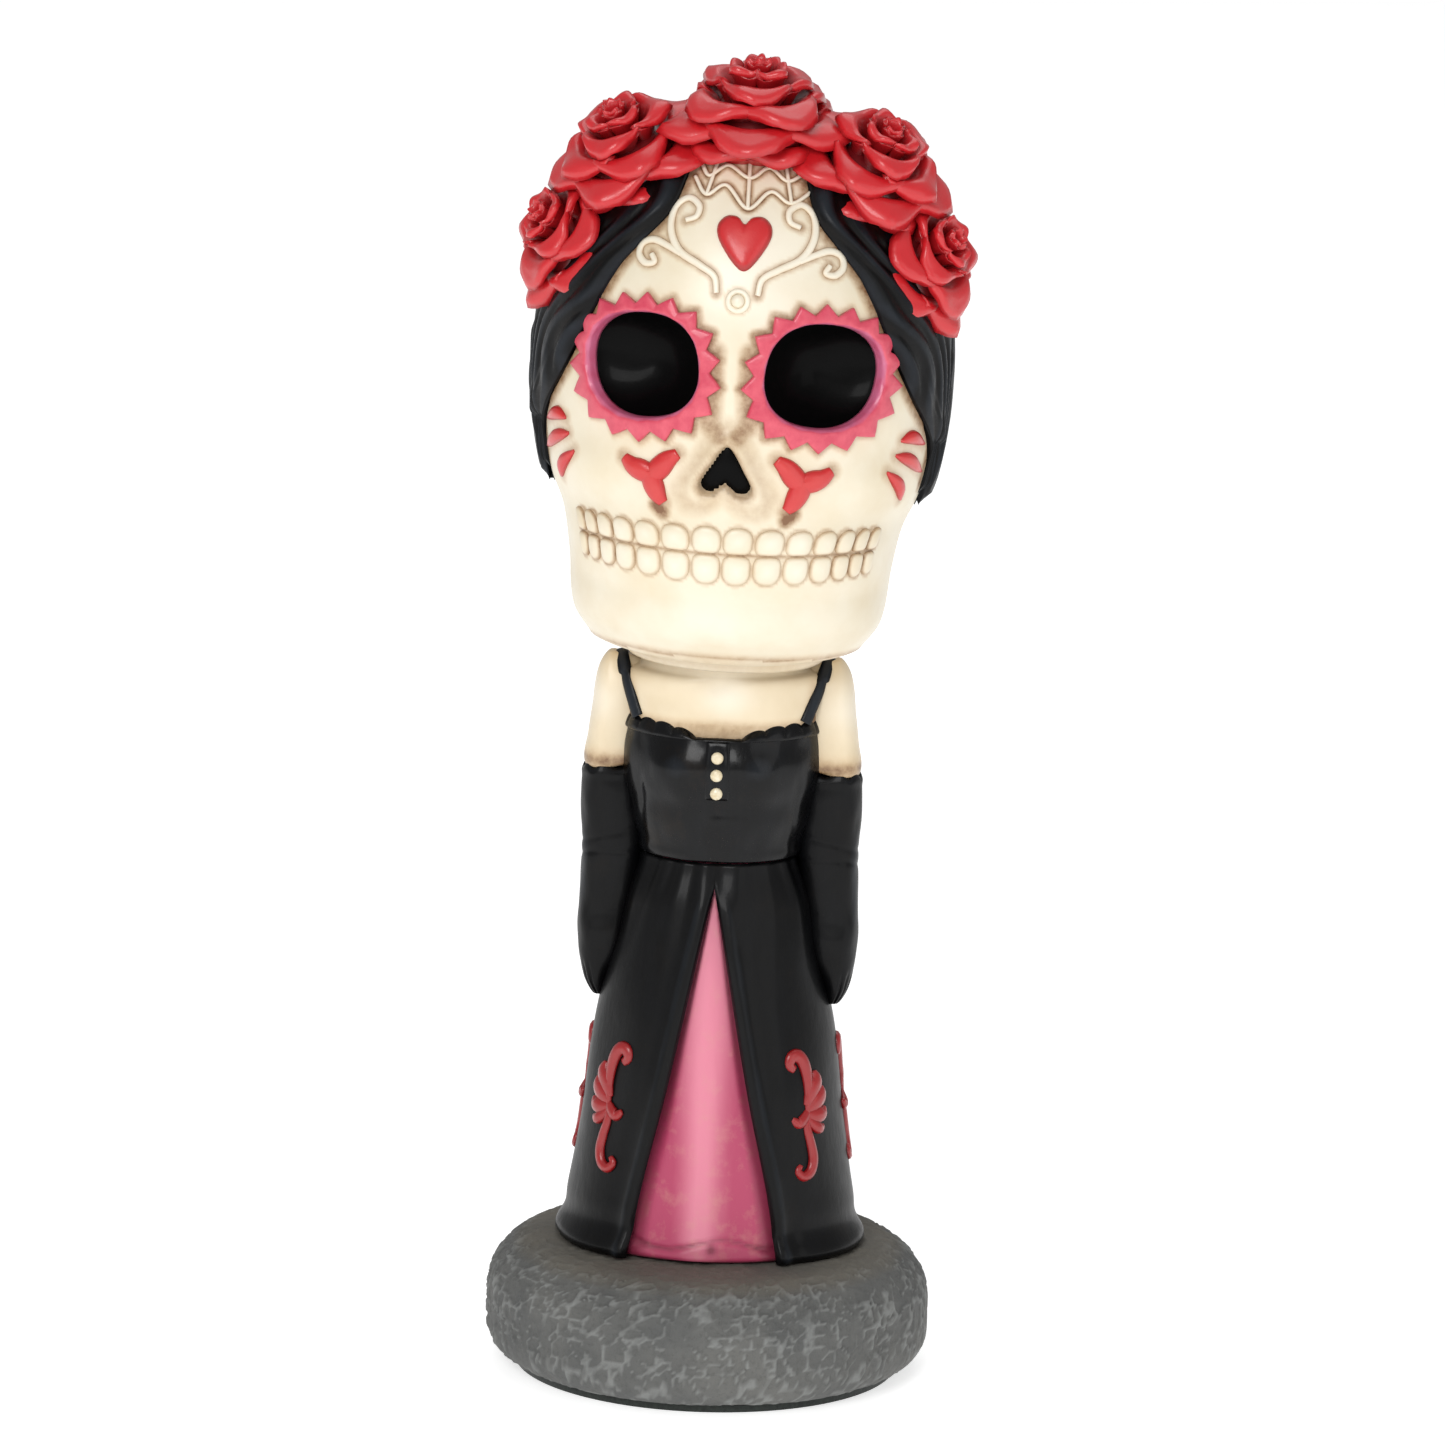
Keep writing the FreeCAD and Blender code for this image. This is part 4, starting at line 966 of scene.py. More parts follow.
# coil spring: one wire in the stretches that follow each way the head moves
coil = {"radius": 4.5, "wire": 0.5, "steps": 640,
        "ends": ((0, 99.9), (1.6, 101.6), (7.4, 116.6), (9.2, 118.3)), "cuts": (102.2, 106.8, 111.4, 116.0)}


def makeSpring():
    last, steps = coil["ends"][-1][0], coil["steps"]
    points = []
    for step in range(steps + 1):
        turn = last * step / steps
        angle = turn * math.tau
        z = between(coil["ends"], turn)[0]
        points.append(Vector((coil["radius"] * math.cos(angle), coil["radius"] * math.sin(angle), z)))
    cuts = [0, *[min(range(steps), key=lambda place: abs(points[place].z - cut)) for cut in coil["cuts"]],
            steps]
    names = ("spring_foot_turns", "spring_lower_turns", "spring_middle_turns", "spring_upper_turns",
             "spring_head_turns")
    bodies = (("figure",), ("figure", "spring_lower"), ("spring_lower", "spring_middle"),
              ("spring_middle", "spring_upper"), ("spring_upper", "head"))
    for count, name in enumerate(names):
        run = points[cuts[count]:cuts[count + 1] + 1]
        curve = bpy.data.curves.new(name, "CURVE")
        curve.dimensions = "3D"
        curve.bevel_depth = coil["wire"]
        curve.bevel_resolution = 4
        curve.use_fill_caps = True
        line = curve.splines.new("POLY")
        line.points.add(len(run) - 1)
        for place, point in zip(line.points, run):
            place.co = (*point, 1)
        holder = bpy.data.objects.new(name, curve)
        mesh = bmesh.new()
        mesh.from_mesh(bpy.data.meshes.new_from_object(holder))
        bpy.data.objects.remove(holder)
        bmesh.ops.remove_doubles(mesh, verts=mesh.verts, dist=0.001)
        bmesh.ops.recalc_face_normals(mesh, faces=mesh.faces)
        start, end = (0, 0, run[0].z * millimetre), (0, 0, run[-1].z * millimetre)
        blended = len(bodies[count]) == 2
        piece = finished(f"{name}_wire", mesh, steel, None if blended else bodies[count][0], [name])
        if blended:
            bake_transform(piece, *bodies[count], start=start, end=end)


makeSpring()
print("spring wound")

# skull
skull = {"halfWide": 28.4, "halfDeep": 27.2, "low": 1, "tall": 77, "columns": 300, "rows": 230,
         "chinDrop": 1.0,
         "rings": ((0, .69, .57, -.11), (.05, .782, .7, -.09), (.152, .82, .827, -.055),
                   (.228, .859, .89, -.037), (.291, .93, .934, -.018), (.405, .986, .978, 0),
                   (.544, 1, 1, .01), (.684, .947, .97, .02), (.81, .803, .838, .03),
                   (.911, .592, .625, .03), (.975, .359, .386, .03), (1, .17, .18, .03))}
eyes = {"x": 12.6, "z": 43.5, "halfWide": 8.2, "halfTall": 7.7, "tilt": 8, "square": 2.3, "points": 18}
bite = {"z": 17.4, "upperTall": 3.9, "lowerTall": 4.5, "high": 0.75,
        "turns": (5.2, 15.8, 26.1, 35.6, 43.9, 51.2, 57.8), "halves": (5.1, 5.1, 4.8, 4.4, 3.8, 3.4, 3.1)}


def headSize(z):
    wide, deep, middle = between(skull["rings"], (z - skull["low"]) / skull["tall"])
    return wide * skull["halfWide"], deep * skull["halfDeep"], middle * skull["halfDeep"]


def headPoint(turn, z, grow=0.0):
    wide, deep, middle = headSize(z)
    return Vector(((wide + grow) * math.sin(turn), middle - (deep + grow) * math.cos(turn), z))


def skullRows():
    # from the ceiling of the neck's hole, down its wall, over the collar's rim and up the outside
    rows = [(0, 0, 0, 11), (13.3, 13.3, 0, 11), (13.5, 13.5, 0, 5), (13.5, 13.5, 0, -1.5),
            (13.8, 13.8, 0, -1.95), (14.3, 14.3, 0, -1.95), (14.55, 14.55, 0, -1.5),
            (14.6, 14.5, -0.2, -0.3), (15.6, 14.6, -1.2, 0.25)]
    for step in range(120):
        height = step / 119
        z = skull["low"] + skull["tall"] * height
        rows.append((*headSize(z), z))
    wide, deep, middle = headSize(skull["low"] + skull["tall"])
    rows += [(wide * 0.5, deep * 0.5, middle, 78.4), (0, 0, middle, 78.5)]
    weights = [0.0]
    for low, high in zip(rows, rows[1:]):
        inside = 0.35 if len(weights) < 6 else 1
        weights.append(weights[-1] + math.dist(low, high) * inside)
    return [(weight / weights[-1], *row) for weight, row in zip(weights, rows)]


def bigForms(x, z, front):
    # cheekbones, the hollows under them, the mouth's bulge, chin and nose
    side = abs(x)
    lift = 0.8 * bell(side, 20, 6) * bell(z, 27.5, 3.6) - 0.7 * bell(side, 21, 5) * bell(z, 21.4, 2.2)
    lift += 0.7 * bell(z, 17.3, 5.5) * front - 0.35 * bell(z, 10.6, 1.5) * front
    lift += (0.5 * bell(z, 6.2, 2.8) - 0.3 * bell(x, 0, 2.4) * bell(z, 4, 2.6)) * front
    lift += 1.2 * bell(x, 0, 4.6) * bell(z, 29.8, 4.8) + 0.4 * bell(side, 0, 2.6) * bell(z, 43, 7)
    lift += 0.35 * bell(side, 12.6, 9) * bell(z, 54, 3.5)
    return lift * smooth(-0.1, 0.35, front)


def makeSkullForm():
    line = skullRows()
    mesh = bmesh.new()
    bmesh.ops.create_uvsphere(mesh, u_segments=skull["columns"], v_segments=skull["rows"], radius=1)
    mesh.verts.layers.float.new("wash")
    mesh.verts.layers.float.new("tint")
    for vertex in mesh.verts:
        share = math.acos(max(min(-vertex.co.z, 1), -1)) / math.pi
        turn = math.atan2(vertex.co.x, -vertex.co.y)
        turn -= 0.42 * math.sin(turn)
        wide, deep, middle, z = lineAt(line, share)
        outside = share > 0.14 and z > 0.8
        lift = bigForms(wide * math.sin(turn), z, max(math.cos(turn), 0)) if outside and z < 76 else 0
        if outside:
            z -= skull["chinDrop"] * smooth(9, 1.5, z) * max(math.cos(turn), 0) ** 2
        vertex.co = ((wide + lift) * math.sin(turn), middle - (deep + lift) * math.cos(turn), z)
    bmesh.ops.recalc_face_normals(mesh, faces=mesh.faces)
    return mesh


skullMesh = makeSkullForm()
faceTree = BVHTree.FromBMesh(skullMesh)


def onFace(x, z):
    # the place and the facing of the skull's surface, looked at from the front
    limit = headSize(z)[0] - 0.4
    hit, normal, _, _ = faceTree.ray_cast(Vector((max(min(x, limit), -limit), -80, z)), Vector((0, 1, 0)))
    return hit, normal


def eyeRadius(angle):
    # the opening's edge: an egg, a little square, higher towards the nose on the left side
    angle -= math.radians(eyes["tilt"])
    across = abs(math.cos(angle) / eyes["halfWide"]) ** eyes["square"]
    tall = abs(math.sin(angle) / eyes["halfTall"]) ** eyes["square"]
    return (across + tall) ** (-1 / eyes["square"])


def ringTip(angle):
    # the pointed ring is wider under the eye than over it
    under = 0.75 * smooth(0.2, -0.8, math.sin(angle))
    return eyeRadius(angle) + 2.55 + under + 0.3 * smooth(0.3, 1, math.cos(angle))


def ringOuter(angle):
    wave = (angle / math.tau * eyes["points"]) % 1
    point = 1 - abs(2 * wave - 1)
    return ringTip(angle) - 1.55 * (1 - point ** 1.15)


noseOutline = ((0, 33.0), (1.0, 32.1), (2.1, 30.2), (3.2, 28.2), (3.6, 27.0), (2.9, 26.1), (1.6, 26.2),
               (0.5, 27.1), (-0.1, 27.5), (-0.7, 27.1), (-1.7, 26.3), (-3.0, 26.3), (-3.7, 27.3),
               (-3.2, 28.6), (-2.1, 30.4), (-1.0, 32.2))
noseCentre = (0, 29.0)
pearl = {"place": (0.2, 53.8), "ring": 1.35, "dot": 1.0}
noseReach = outlineReach(noseOutline, noseCentre)
web = {"rows": (((-7.4, 69.6), (-5.5, 67.5), (-2.8, 68.9), (0.5, 66.1), (3.5, 68.4), (6.5, 67.0),
                 (9.8, 69.0)),
                ((-6.6, 71.2), (-5.3, 69.9), (-2.8, 71.4), (0.4, 70.0), (3.0, 71.4), (5.7, 69.8),
                 (8.2, 71.0)),
                ((-5.2, 73.6), (-4.0, 72.5), (-2.0, 73.6), (0.2, 72.4), (2.4, 73.5), (4.8, 72.3),
                 (6.2, 73.3))),
       "spokes": (((-5.5, 67.5), (-3.6, 74.4)), ((0.5, 66.1), (0.1, 74.4)), ((6.5, 67.0), (4.6, 74.4)))}
swirls = (((-8.1, 63.9), (-6.6, 64.6), (-6.4, 66.0), (-8.0, 66.8), (-9.8, 65.3), (-10.1, 62.4), (-8.6, 59.8),
           (-5.5, 58.2), (-3.4, 56.9), (-2.9, 54.7)),
          ((-12.6, 58.9), (-12.1, 57.9), (-13.4, 57.6), (-14.4, 58.6), (-14.0, 60.1), (-12.4, 60.8),
           (-10.5, 60.3), (-8.4, 59.4)))
cheekArms = (((-10.4, 28.0), (-12.0, 28.4), (-13.4, 28.9), (-14.7, 29.9)),
             ((-10.6, 27.8), (-9.6, 29.0), (-8.4, 30.4), (-7.0, 31.5)),
             ((-10.9, 28.6), (-10.4, 26.9), (-9.6, 25.3), (-8.7, 24.1)))
petals = (((-26.9, 32.1), (-25.4, 33.6), (-23.9, 33.4)), ((-26.7, 28.0), (-25.3, 30.2), (-23.3, 31.4)),
          ((-24.2, 24.6), (-23.9, 27.0), (-22.3, 29.2)))


def toothPlace(count, upper):
    # a tooth's turn from the front, its height, and half of its height and width
    order = count if count >= 0 else -1 - count
    turn = math.radians(bite["turns"][order]) * (1 if count >= 0 else -1)
    tall = (bite["upperTall"] if upper else bite["lowerTall"]) * (1 - 0.035 * order)
    z = bite["z"] + (0.12 + tall / 2 if upper else -0.12 - tall / 2)
    return turn, z, tall / 2, headSize(z)[0] * math.radians(bite["halves"][order]) * 0.96


def stains():
    # where the brown wash has settled: a point, how far it spreads and how dark it is
    found = []

    def add(x, z, spread, dark):
        hit, _ = onFace(x, z)
        if hit:
            found.append((hit, spread, dark))

    for side in (-1, 1):
        for step in range(360):
            angle = step / 360 * math.tau
            radius = ringOuter(angle)
            inner = smooth(-1, 1, math.cos(angle))
            add(side * (-eyes["x"] + radius * math.cos(angle)), eyes["z"] + radius * math.sin(angle),
                0.8 + 0.5 * inner, 0.35 + 0.4 * inner)
        for path in swirls:
            for step in range(90):
                x, z = through(path, step / 89)
                add(side * x, z, 1.3, 0.72)
        for path in cheekArms:
            for step in range(12):
                x, z = through(path, step / 11)
                add(side * x, z, 2.0, 0.62)
        for step in range(10):
            add(side * (-9.8 + step * 0.12), 23.6 - step * 0.1, 1.6, 0.9)
        for path in petals:
            for step in range(10):
                x, z = through(path, step / 9)
                add(side * x, z, 1.8, 0.5)
        for step in range(120):
            z = 26 + 48 * step / 119
            x = between(hair["line"], z)[0]
            add(side * -x, z, 1.9, 0.75)
        for step in range(16):
            add(side * (1.2 + step * 0.25), 34.5 + step * 0.3, 2.4, 0.7)
            add(side * 2.6, 36 + step * 0.7, 2.3, 0.7)
    for path in web["rows"]:
        for step in range(90):
            add(*through(path, step / 89), 1.1, 0.9)
    for path in web["spokes"]:
        for step in range(40):
            add(*through(path, step / 39), 1.0, 0.85)
    for step in range(60):
        add(-8 + 16 * step / 59, 74.6, 1.8, 0.6)
    for step in range(120):
        angle = step / 120 * math.tau
        radius = reachAt(noseReach, angle)
        for share, spread, dark in ((1.1, 1.2, 0.55), (1.75, 2.2, 0.4)):
            x = noseCentre[0] + radius * share * math.cos(angle)
            add(x, noseCentre[1] + radius * share * math.sin(angle), spread, dark)
    for step in range(40):
        angle = step / 40 * math.tau
        add(0.2 + 1.75 * math.cos(angle), 53.8 + 1.75 * math.sin(angle), 0.5, 0.45)
    for count in range(-len(bite["turns"]), len(bite["turns"])):
        for upper in (True, False):
            turn, z, half, width = toothPlace(count, upper)
            far = smooth(9, 20, abs(math.sin(turn) * 24))
            for step in range(40):
                angle = step / 40 * math.tau
                x = headPoint(turn, z)[0] + width * math.cos(angle) * math.cos(turn)
                add(x, z + (half + 0.12) * math.sin(angle), 0.5 + 0.1 * far, 0.5 + 0.12 * far)
    for step in range(122):
        turn = math.radians(-61 + step)
        add(headPoint(turn, bite["z"])[0], bite["z"], 0.6, 0.7)
    return found


hair = {"thick": 2.4, "partY": -3, "napeZ": 22, "sideZ": 24,
        "line": [(1 + 77 * height, 28.4 * share) for height, share in (
            (.29, 1), (.342, .993), (.43, .951), (.494, .88), (.57, .789), (.646, .704), (.722, .6),
            (.772, .493), (.835, .352), (.93, .264))]}


def makeSkull():
    marks = stains()
    tree = KDTree(len(marks))
    for index, (point, _, _) in enumerate(marks):
        tree.insert(point, index)
    tree.balance()
    mesh = skullMesh
    wash, tint = mesh.verts.layers.float["wash"], mesh.verts.layers.float["tint"]
    for vertex in mesh.verts:
        x, y, z = vertex.co
        # painted shade on the head's underside round the neck's hole
        if z < 0.9:
            vertex[wash] = 0.3
            continue
        if y > 4:
            continue
        dark = 0.0
        for point, index, distance in tree.find_range(vertex.co, 2.4):
            _, spread, strength = marks[index]
            if distance < spread:
                dark = max(dark, strength * (1 - (distance / spread) ** 2))
        # painted shade along the bottom of the jaw
        dark = max(dark, 0.7 * smooth(2.6, 0.6, z))
        vertex[wash] = dark
        # painted highlight on the forehead and the chin
        vertex[tint] = bell(x, 3, 9) * bell(z, 58, 9) + 0.7 * bell(x, 0, 12) * bell(z, 7, 3)
        # the eyes and the nose are sunk after the marks are found
        offset = abs(x) - eyes["x"]
        angle = math.atan2(z - eyes["z"], -offset)
        ratio = math.hypot(offset, z - eyes["z"]) / eyeRadius(angle)
        sunk = 9.2 * smooth(1.1, 0.86, ratio)
        angle = math.atan2(z - noseCentre[1], x - noseCentre[0])
        ratio = math.hypot(x - noseCentre[0], z - noseCentre[1]) / reachAt(noseReach, angle)
        sunk += 2.6 * smooth(1.12, 0.88, ratio) - 0.3 * bell(ratio, 1.4, 0.25)
        vertex.co.y += sunk
    bmesh.ops.recalc_face_normals(mesh, faces=mesh.faces)
    finished("skull_shell_cast", mesh, bone, "head", ["skull_shell"], True)


makeSkull()
print("skull shaped")


# eyes: a black cup in each opening and a pointed ring round it
def makeEyes():
    def cupPlace(across, along):
        angle = across * math.tau
        front = along < 0.5
        share = along * 2 if front else (1 - along) * 2
        radius = (eyeRadius(angle) + 0.45) * share
        x, z = -eyes["x"] + radius * math.cos(angle), eyes["z"] + radius * math.sin(angle)
        edge = eyeRadius(angle) + 0.45
        rim = onFace(-eyes["x"] + edge * math.cos(angle), eyes["z"] + edge * math.sin(angle))[0]
        flat = onFace(-eyes["x"], eyes["z"])[0].y
        depth = 7.6 * max(1 - share ** 2.3, 0) ** 0.75
        y = flat + (rim.y - flat) * share ** 2 + 0.1 + depth + (0 if front else 0.7)
        return Vector((x, y, z)), 0, 0
    pair("eye_socket", bent(96, 60, cupPlace), socketBlack, "head", True)

    section = ((0.0, -1.2), (0.0, 0.15), (0.05, 0.6), (0.16, 0.95), (0.36, 1.0), (0.6, 0.92), (0.85, 0.8),
               (0.96, 0.6), (1.0, 0.2), (1.0, -0.6), (0.5, -0.9))

    def ringPlace(across, along):
        angle = across * math.tau
        share, high = between([(count, *spot) for count, spot in enumerate((*section, section[0]))],
                              along * len(section))
        inner, outer = eyeRadius(angle) - 0.25, ringOuter(angle)
        radius = inner + (outer - inner) * min(max(share, 0), 1)
        x, z = -eyes["x"] + radius * math.cos(angle), eyes["z"] + radius * math.sin(angle)
        point, normal = onFace(x, z)
        valley = 1 - smooth(0, 1.3, outer - (ringTip(angle) - 1.55))
        dark = smooth(0.65, 1, share) * (0.3 + 0.5 * valley) * smooth(0.9, 0.2, high)
        light = smooth(0.22, 0.03, share)
        return point + normal * high * 0.95, dark, light
    pair("eye_ring", bent(eyes["points"] * 24, 33, ringPlace), ringPink, "head", True)


makeEyes()


# nose, heart, pearl and the other raised marks
def makeMarks():
    def sunkFace(x, z):
        point, normal = onFace(x, z)
        return point + Vector((0, 1.9, 0)), Vector((0, -1, 0))
    mesh = domed([reach * 1.12 for reach in noseReach], noseCentre, sunkFace, 0.25, dark=0)
    finished("nose_cavity_cast", mesh, socketBlack, "head", ["nose_cavity"], True)

    heartOutline = ((0.3, 64.1), (1.3, 65.0), (2.9, 65.1), (4.1, 64.0), (4.2, 62.4), (3.2, 60.4),
                    (1.8, 58.5), (0.7, 57.8), (-0.5, 58.4), (-2.2, 60.3), (-3.4, 62.2), (-3.5, 63.8),
                    (-2.4, 65.0), (-0.8, 65.0))
    centre = (0.3, 62.0)
    mesh = domed(outlineReach(heartOutline, centre), centre, onFace, 0.95, 96, 14, dark=0.5, flat=3.5)
    finished("forehead_heart_cast", mesh, trimRed, "head", ["forehead_heart"], True)

    pearlX, pearlZ = pearl["place"]
    loop = [(pearlX + pearl["ring"] * math.cos(step / 12 * math.tau),
             pearlZ + pearl["ring"] * math.sin(step / 12 * math.tau)) for step in range(12)]
    ring = strand(loop, onFace, steady(0.42), steady(0.36), 0.3, 60, 10, looped=True, dark=0.2)
    dot = domed([pearl["dot"]] * 60, pearl["place"], onFace, 0.8, 40, 10, dark=0.2, flat=2.2)
    finished("forehead_pearl_cast", joined([ring, dot]), bone, "head", ["forehead_pearl"], True)

    for name, paths, wide, high in (
            ("cheek_motif", cheekArms, tapered(1.3, 1.65, 0.75, 0.35), tapered(0.85, 0.95, 0.5, 0.4)),
            ("temple_petals", petals, tapered(0.25, 1.05, 0.2, 0.5), tapered(0.3, 0.9, 0.3, 0.5))):
        lobes = [strand(path, onFace, wide, high, 0.5, 26, 12, dark=0.35) for path in paths]
        pair(name, joined(lobes), trimRed, "head", True)

    lines = [strand(path, onFace, steady(0.34), steady(0.3), 0.3, steps, 8, dark=0.9)
             for paths, steps in ((web["rows"], 80), (web["spokes"], 30)) for path in paths]
    finished("forehead_web_relief", joined(lines), bone, "head", [], True)
    curls = [strand(path, onFace, tapered(0.45, 0.62, 0.45, 0.6), steady(0.3), 0.3, 110, 10, dark=0.75)
             for path in swirls]
    pair("forehead_swirls", joined(curls), bone, "head", True, stands=False)


makeMarks()


def makeTeeth():
    for upper, name in ((True, "teeth_upper"), (False, "teeth_lower")):
        row = []
        for count in range(-len(bite["turns"]), len(bite["turns"])):
            turn, z, half, width = toothPlace(count, upper)
            tooth = bmesh.new()
            bmesh.ops.create_uvsphere(tooth, u_segments=24, v_segments=18, radius=1)
            wash = tooth.verts.layers.float.new("wash")
            tint = tooth.verts.layers.float.new("tint")
            bmesh.ops.rotate(tooth, matrix=Matrix.Rotation(math.pi / 2, 3, "X"), verts=tooth.verts)
            far = smooth(9, 20, abs(math.sin(turn) * 24))
            for vertex in tooth.verts:
                across, deep, tall = vertex.co
                outer = (tall > 0) == upper
                reach = max(math.hypot(across, tall), 1e-6)
                # square towards the bite, round towards the gum
                power = 2.3 if outer else 4.5
                grow = 1 / ((abs(across / reach) ** power + abs(tall / reach) ** power) ** (1 / power))
                across, tall = across * grow, tall * grow
                face = headPoint(turn + across * width / headSize(z)[0], z + tall * half)
                seat = onFace(face.x, face.z)[0]
                outward = Vector((math.sin(turn), -math.cos(turn), 0))
                lift = bite["high"] * (max(-deep, 0) ** 0.8) if deep < 0 else -0.5 * deep
                vertex.co = seat + outward * lift
                # darker round each tooth's edge and on the teeth further round the jaw; a painted highlight
                # in the middle of each tooth, fading on those further round
                vertex[wash] = smooth(0.7, 1.0, reach) * (0.4 + 0.15 * far) + 0.12 * far
                vertex[tint] = max(1 - reach * 1.3, 0) * (1 - far)
            bmesh.ops.recalc_face_normals(tooth, faces=tooth.faces)
            row.append(tooth)
        finished(f"{name}_cast", joined(row), bone, "head", [name], True)


makeTeeth()
print("face finished")


# hair: combed locks down the sides of the face and a cap behind
def combed(turn, z, across, seed, count):
    # ridges that wander a little along the way they are combed
    wander = noise.noise(Vector((across * 2, z / 13, seed))) * 1.5
    ridge = 0.5 + 0.5 * math.cos((across * count + wander) * math.tau)
    fine = noise.noise(Vector((across * count * 3.2 + wander, z / 22, seed + 4)))
    return 0.55 * ridge ** 0.7 + 0.22 * fine, ridge


def makeHair():
    partTurn = math.acos(min(-hair["partY"] / skull["halfDeep"], 1)) - 0.02

    def lockPlace(across, along):
        high = 74.5
        z = hair["sideZ"] + 0.2 + (high - hair["sideZ"] - 0.2) * along
        wide, deep, middle = headSize(z)
        line = between(hair["line"], z)[0]
        start = math.asin(min(line / wide, 0.995))
        start = min(start, partTurn - 0.02)
        end = math.acos(max(min((middle - hair["partY"]) / deep, 1), -1)) - 0.02
        loop = across * 2
        outside = loop <= 1
        share = loop if outside else 2 - loop
        turn = start + (max(end, start + 0.03) - start) * share
        away = (turn - start) * wide
        ridge, shine = combed(turn, z, share * 0.9 + 0.15 * math.sin(z / 9), 3.0, 5)
        roll = smooth(0, 2.2, away) ** 0.6
        ends = smooth(0, 0.03, along) * smooth(1, 0.97, along)
        grow = (0.55 + (hair["thick"] - 1.15) * roll + ridge * 0.85 * smooth(0, 1, away)) * ends + 0.1
        if not outside:
            grow = 0.08
        # brown wash in the grooves and a painted highlight on the strands' tops
        return headPoint(-turn, z, min(grow, hair["thick"] - 0.02)), (1 - shine) * 0.5, shine * 0.8 * ends
    mesh = closed(bent(120, 170, lockPlace))
    pair("hair", mesh, hairBlack, "head", True)

    rows = [(z, *headSize(z), z) for z in [hair["napeZ"] + 0.15 + step * (77.9 - hair["napeZ"]) / 90
                                           for step in range(91)]]
    wide, deep, middle = headSize(78)
    rows.append((78.6, wide * 0.5, deep * 0.5, middle, 78.35))
    rows.append((79.2, -2.0, -2.0, middle, 78.5))
    line = loftLine(rows, 300)

    def capPlace(across, along):
        loop = along * 2
        outside = loop <= 1
        share = loop if outside else 2 - loop
        wide, deep, middle, z = lineAt(line, share)
        limit = max(min((middle - hair["partY"]) / max(deep + 2.4, 0.1), 1), -1)
        start = math.acos(limit) + 0.012
        turn = start + (math.tau - 2 * start) * across
        ridge, shine = combed(turn, z, across, 9.0, 26)
        edge = smooth(0, 0.02, share) * smooth(0, 0.012, across) * smooth(1, 0.988, across)
        grow = 0.15 + (hair["thick"] - 1.0 + ridge * 0.8) * (0.35 + 0.65 * edge) if outside else 0.12
        if share > 0.93:
            grow = grow * (1 - smooth(0.93, 1, share)) + (2.1 if outside else 0.12) * smooth(0.93, 1, share)
        radiusX, radiusY = max(wide + min(grow, 2.38), 0), max(deep + min(grow, 2.38), 0)
        top = 1.9 * smooth(0.9, 1, share) if outside else 0
        curl = 0.35 * math.sin(across * 60) * smooth(0.05, 0, share)
        # brown wash in the grooves and a painted highlight on the strands' tops
        return (Vector((radiusX * math.sin(turn), middle - radiusY * math.cos(turn), z + top + max(curl, 0))),
                (1 - shine) * 0.4, shine * 0.8)
    mesh = closed(bent(320, 220, capPlace))
    finished("hair_back_cast", mesh, hairBlack, "head", ["hair_back"], True)


makeHair()
print("hair combed")

# roses: petals in layers round a bud; sizes are shares of each rose's radius
roses = {"centre": {"place": (0.3, -8.0, 78.3), "tilt": 10, "lean": 0, "radius": 11.7, "turn": 0.0},
         "upper": {"place": (-17.6, -9.0, 72.2), "tilt": 32, "lean": -44, "radius": 10.6, "turn": 0.4},
         "lower": {"place": (-25.4, -8.0, 59.4), "tilt": 60, "lean": -60, "radius": 9.8, "turn": 0.9}}
petalKeys = ("count", "base", "lip", "low", "high", "half", "curl", "point",
             "thick", "cup", "turn")
roseLayers = [dict(zip(petalKeys, values)) for values in (
    (2, 0.02, 0.15, 0.1, 0.7, 1.5, 0.03, 0.05, 0.08, 0.0, 0.2),
    (3, 0.12, 0.36, 0.05, 0.64, 1.15, 0.08, 0.1, 0.11, 0.02, 1.0),
    (3, 0.25, 0.6, 0.0, 0.5, 1.15, 0.12, 0.16, 0.13, 0.03, 0.0),
    (4, 0.35, 0.84, -0.1, 0.3, 0.98, 0.15, 0.2, 0.14, 0.03, 0.75),
    (5, 0.45, 1.0, -0.35, 0.06, 0.88, 0.18, 0.22, 0.15, 0.02, 0.0),
    (6, 0.5, 0.93, -0.6, -0.2, 0.72, 0.12, 0.12, 0.15, 0.0, 0.5))]


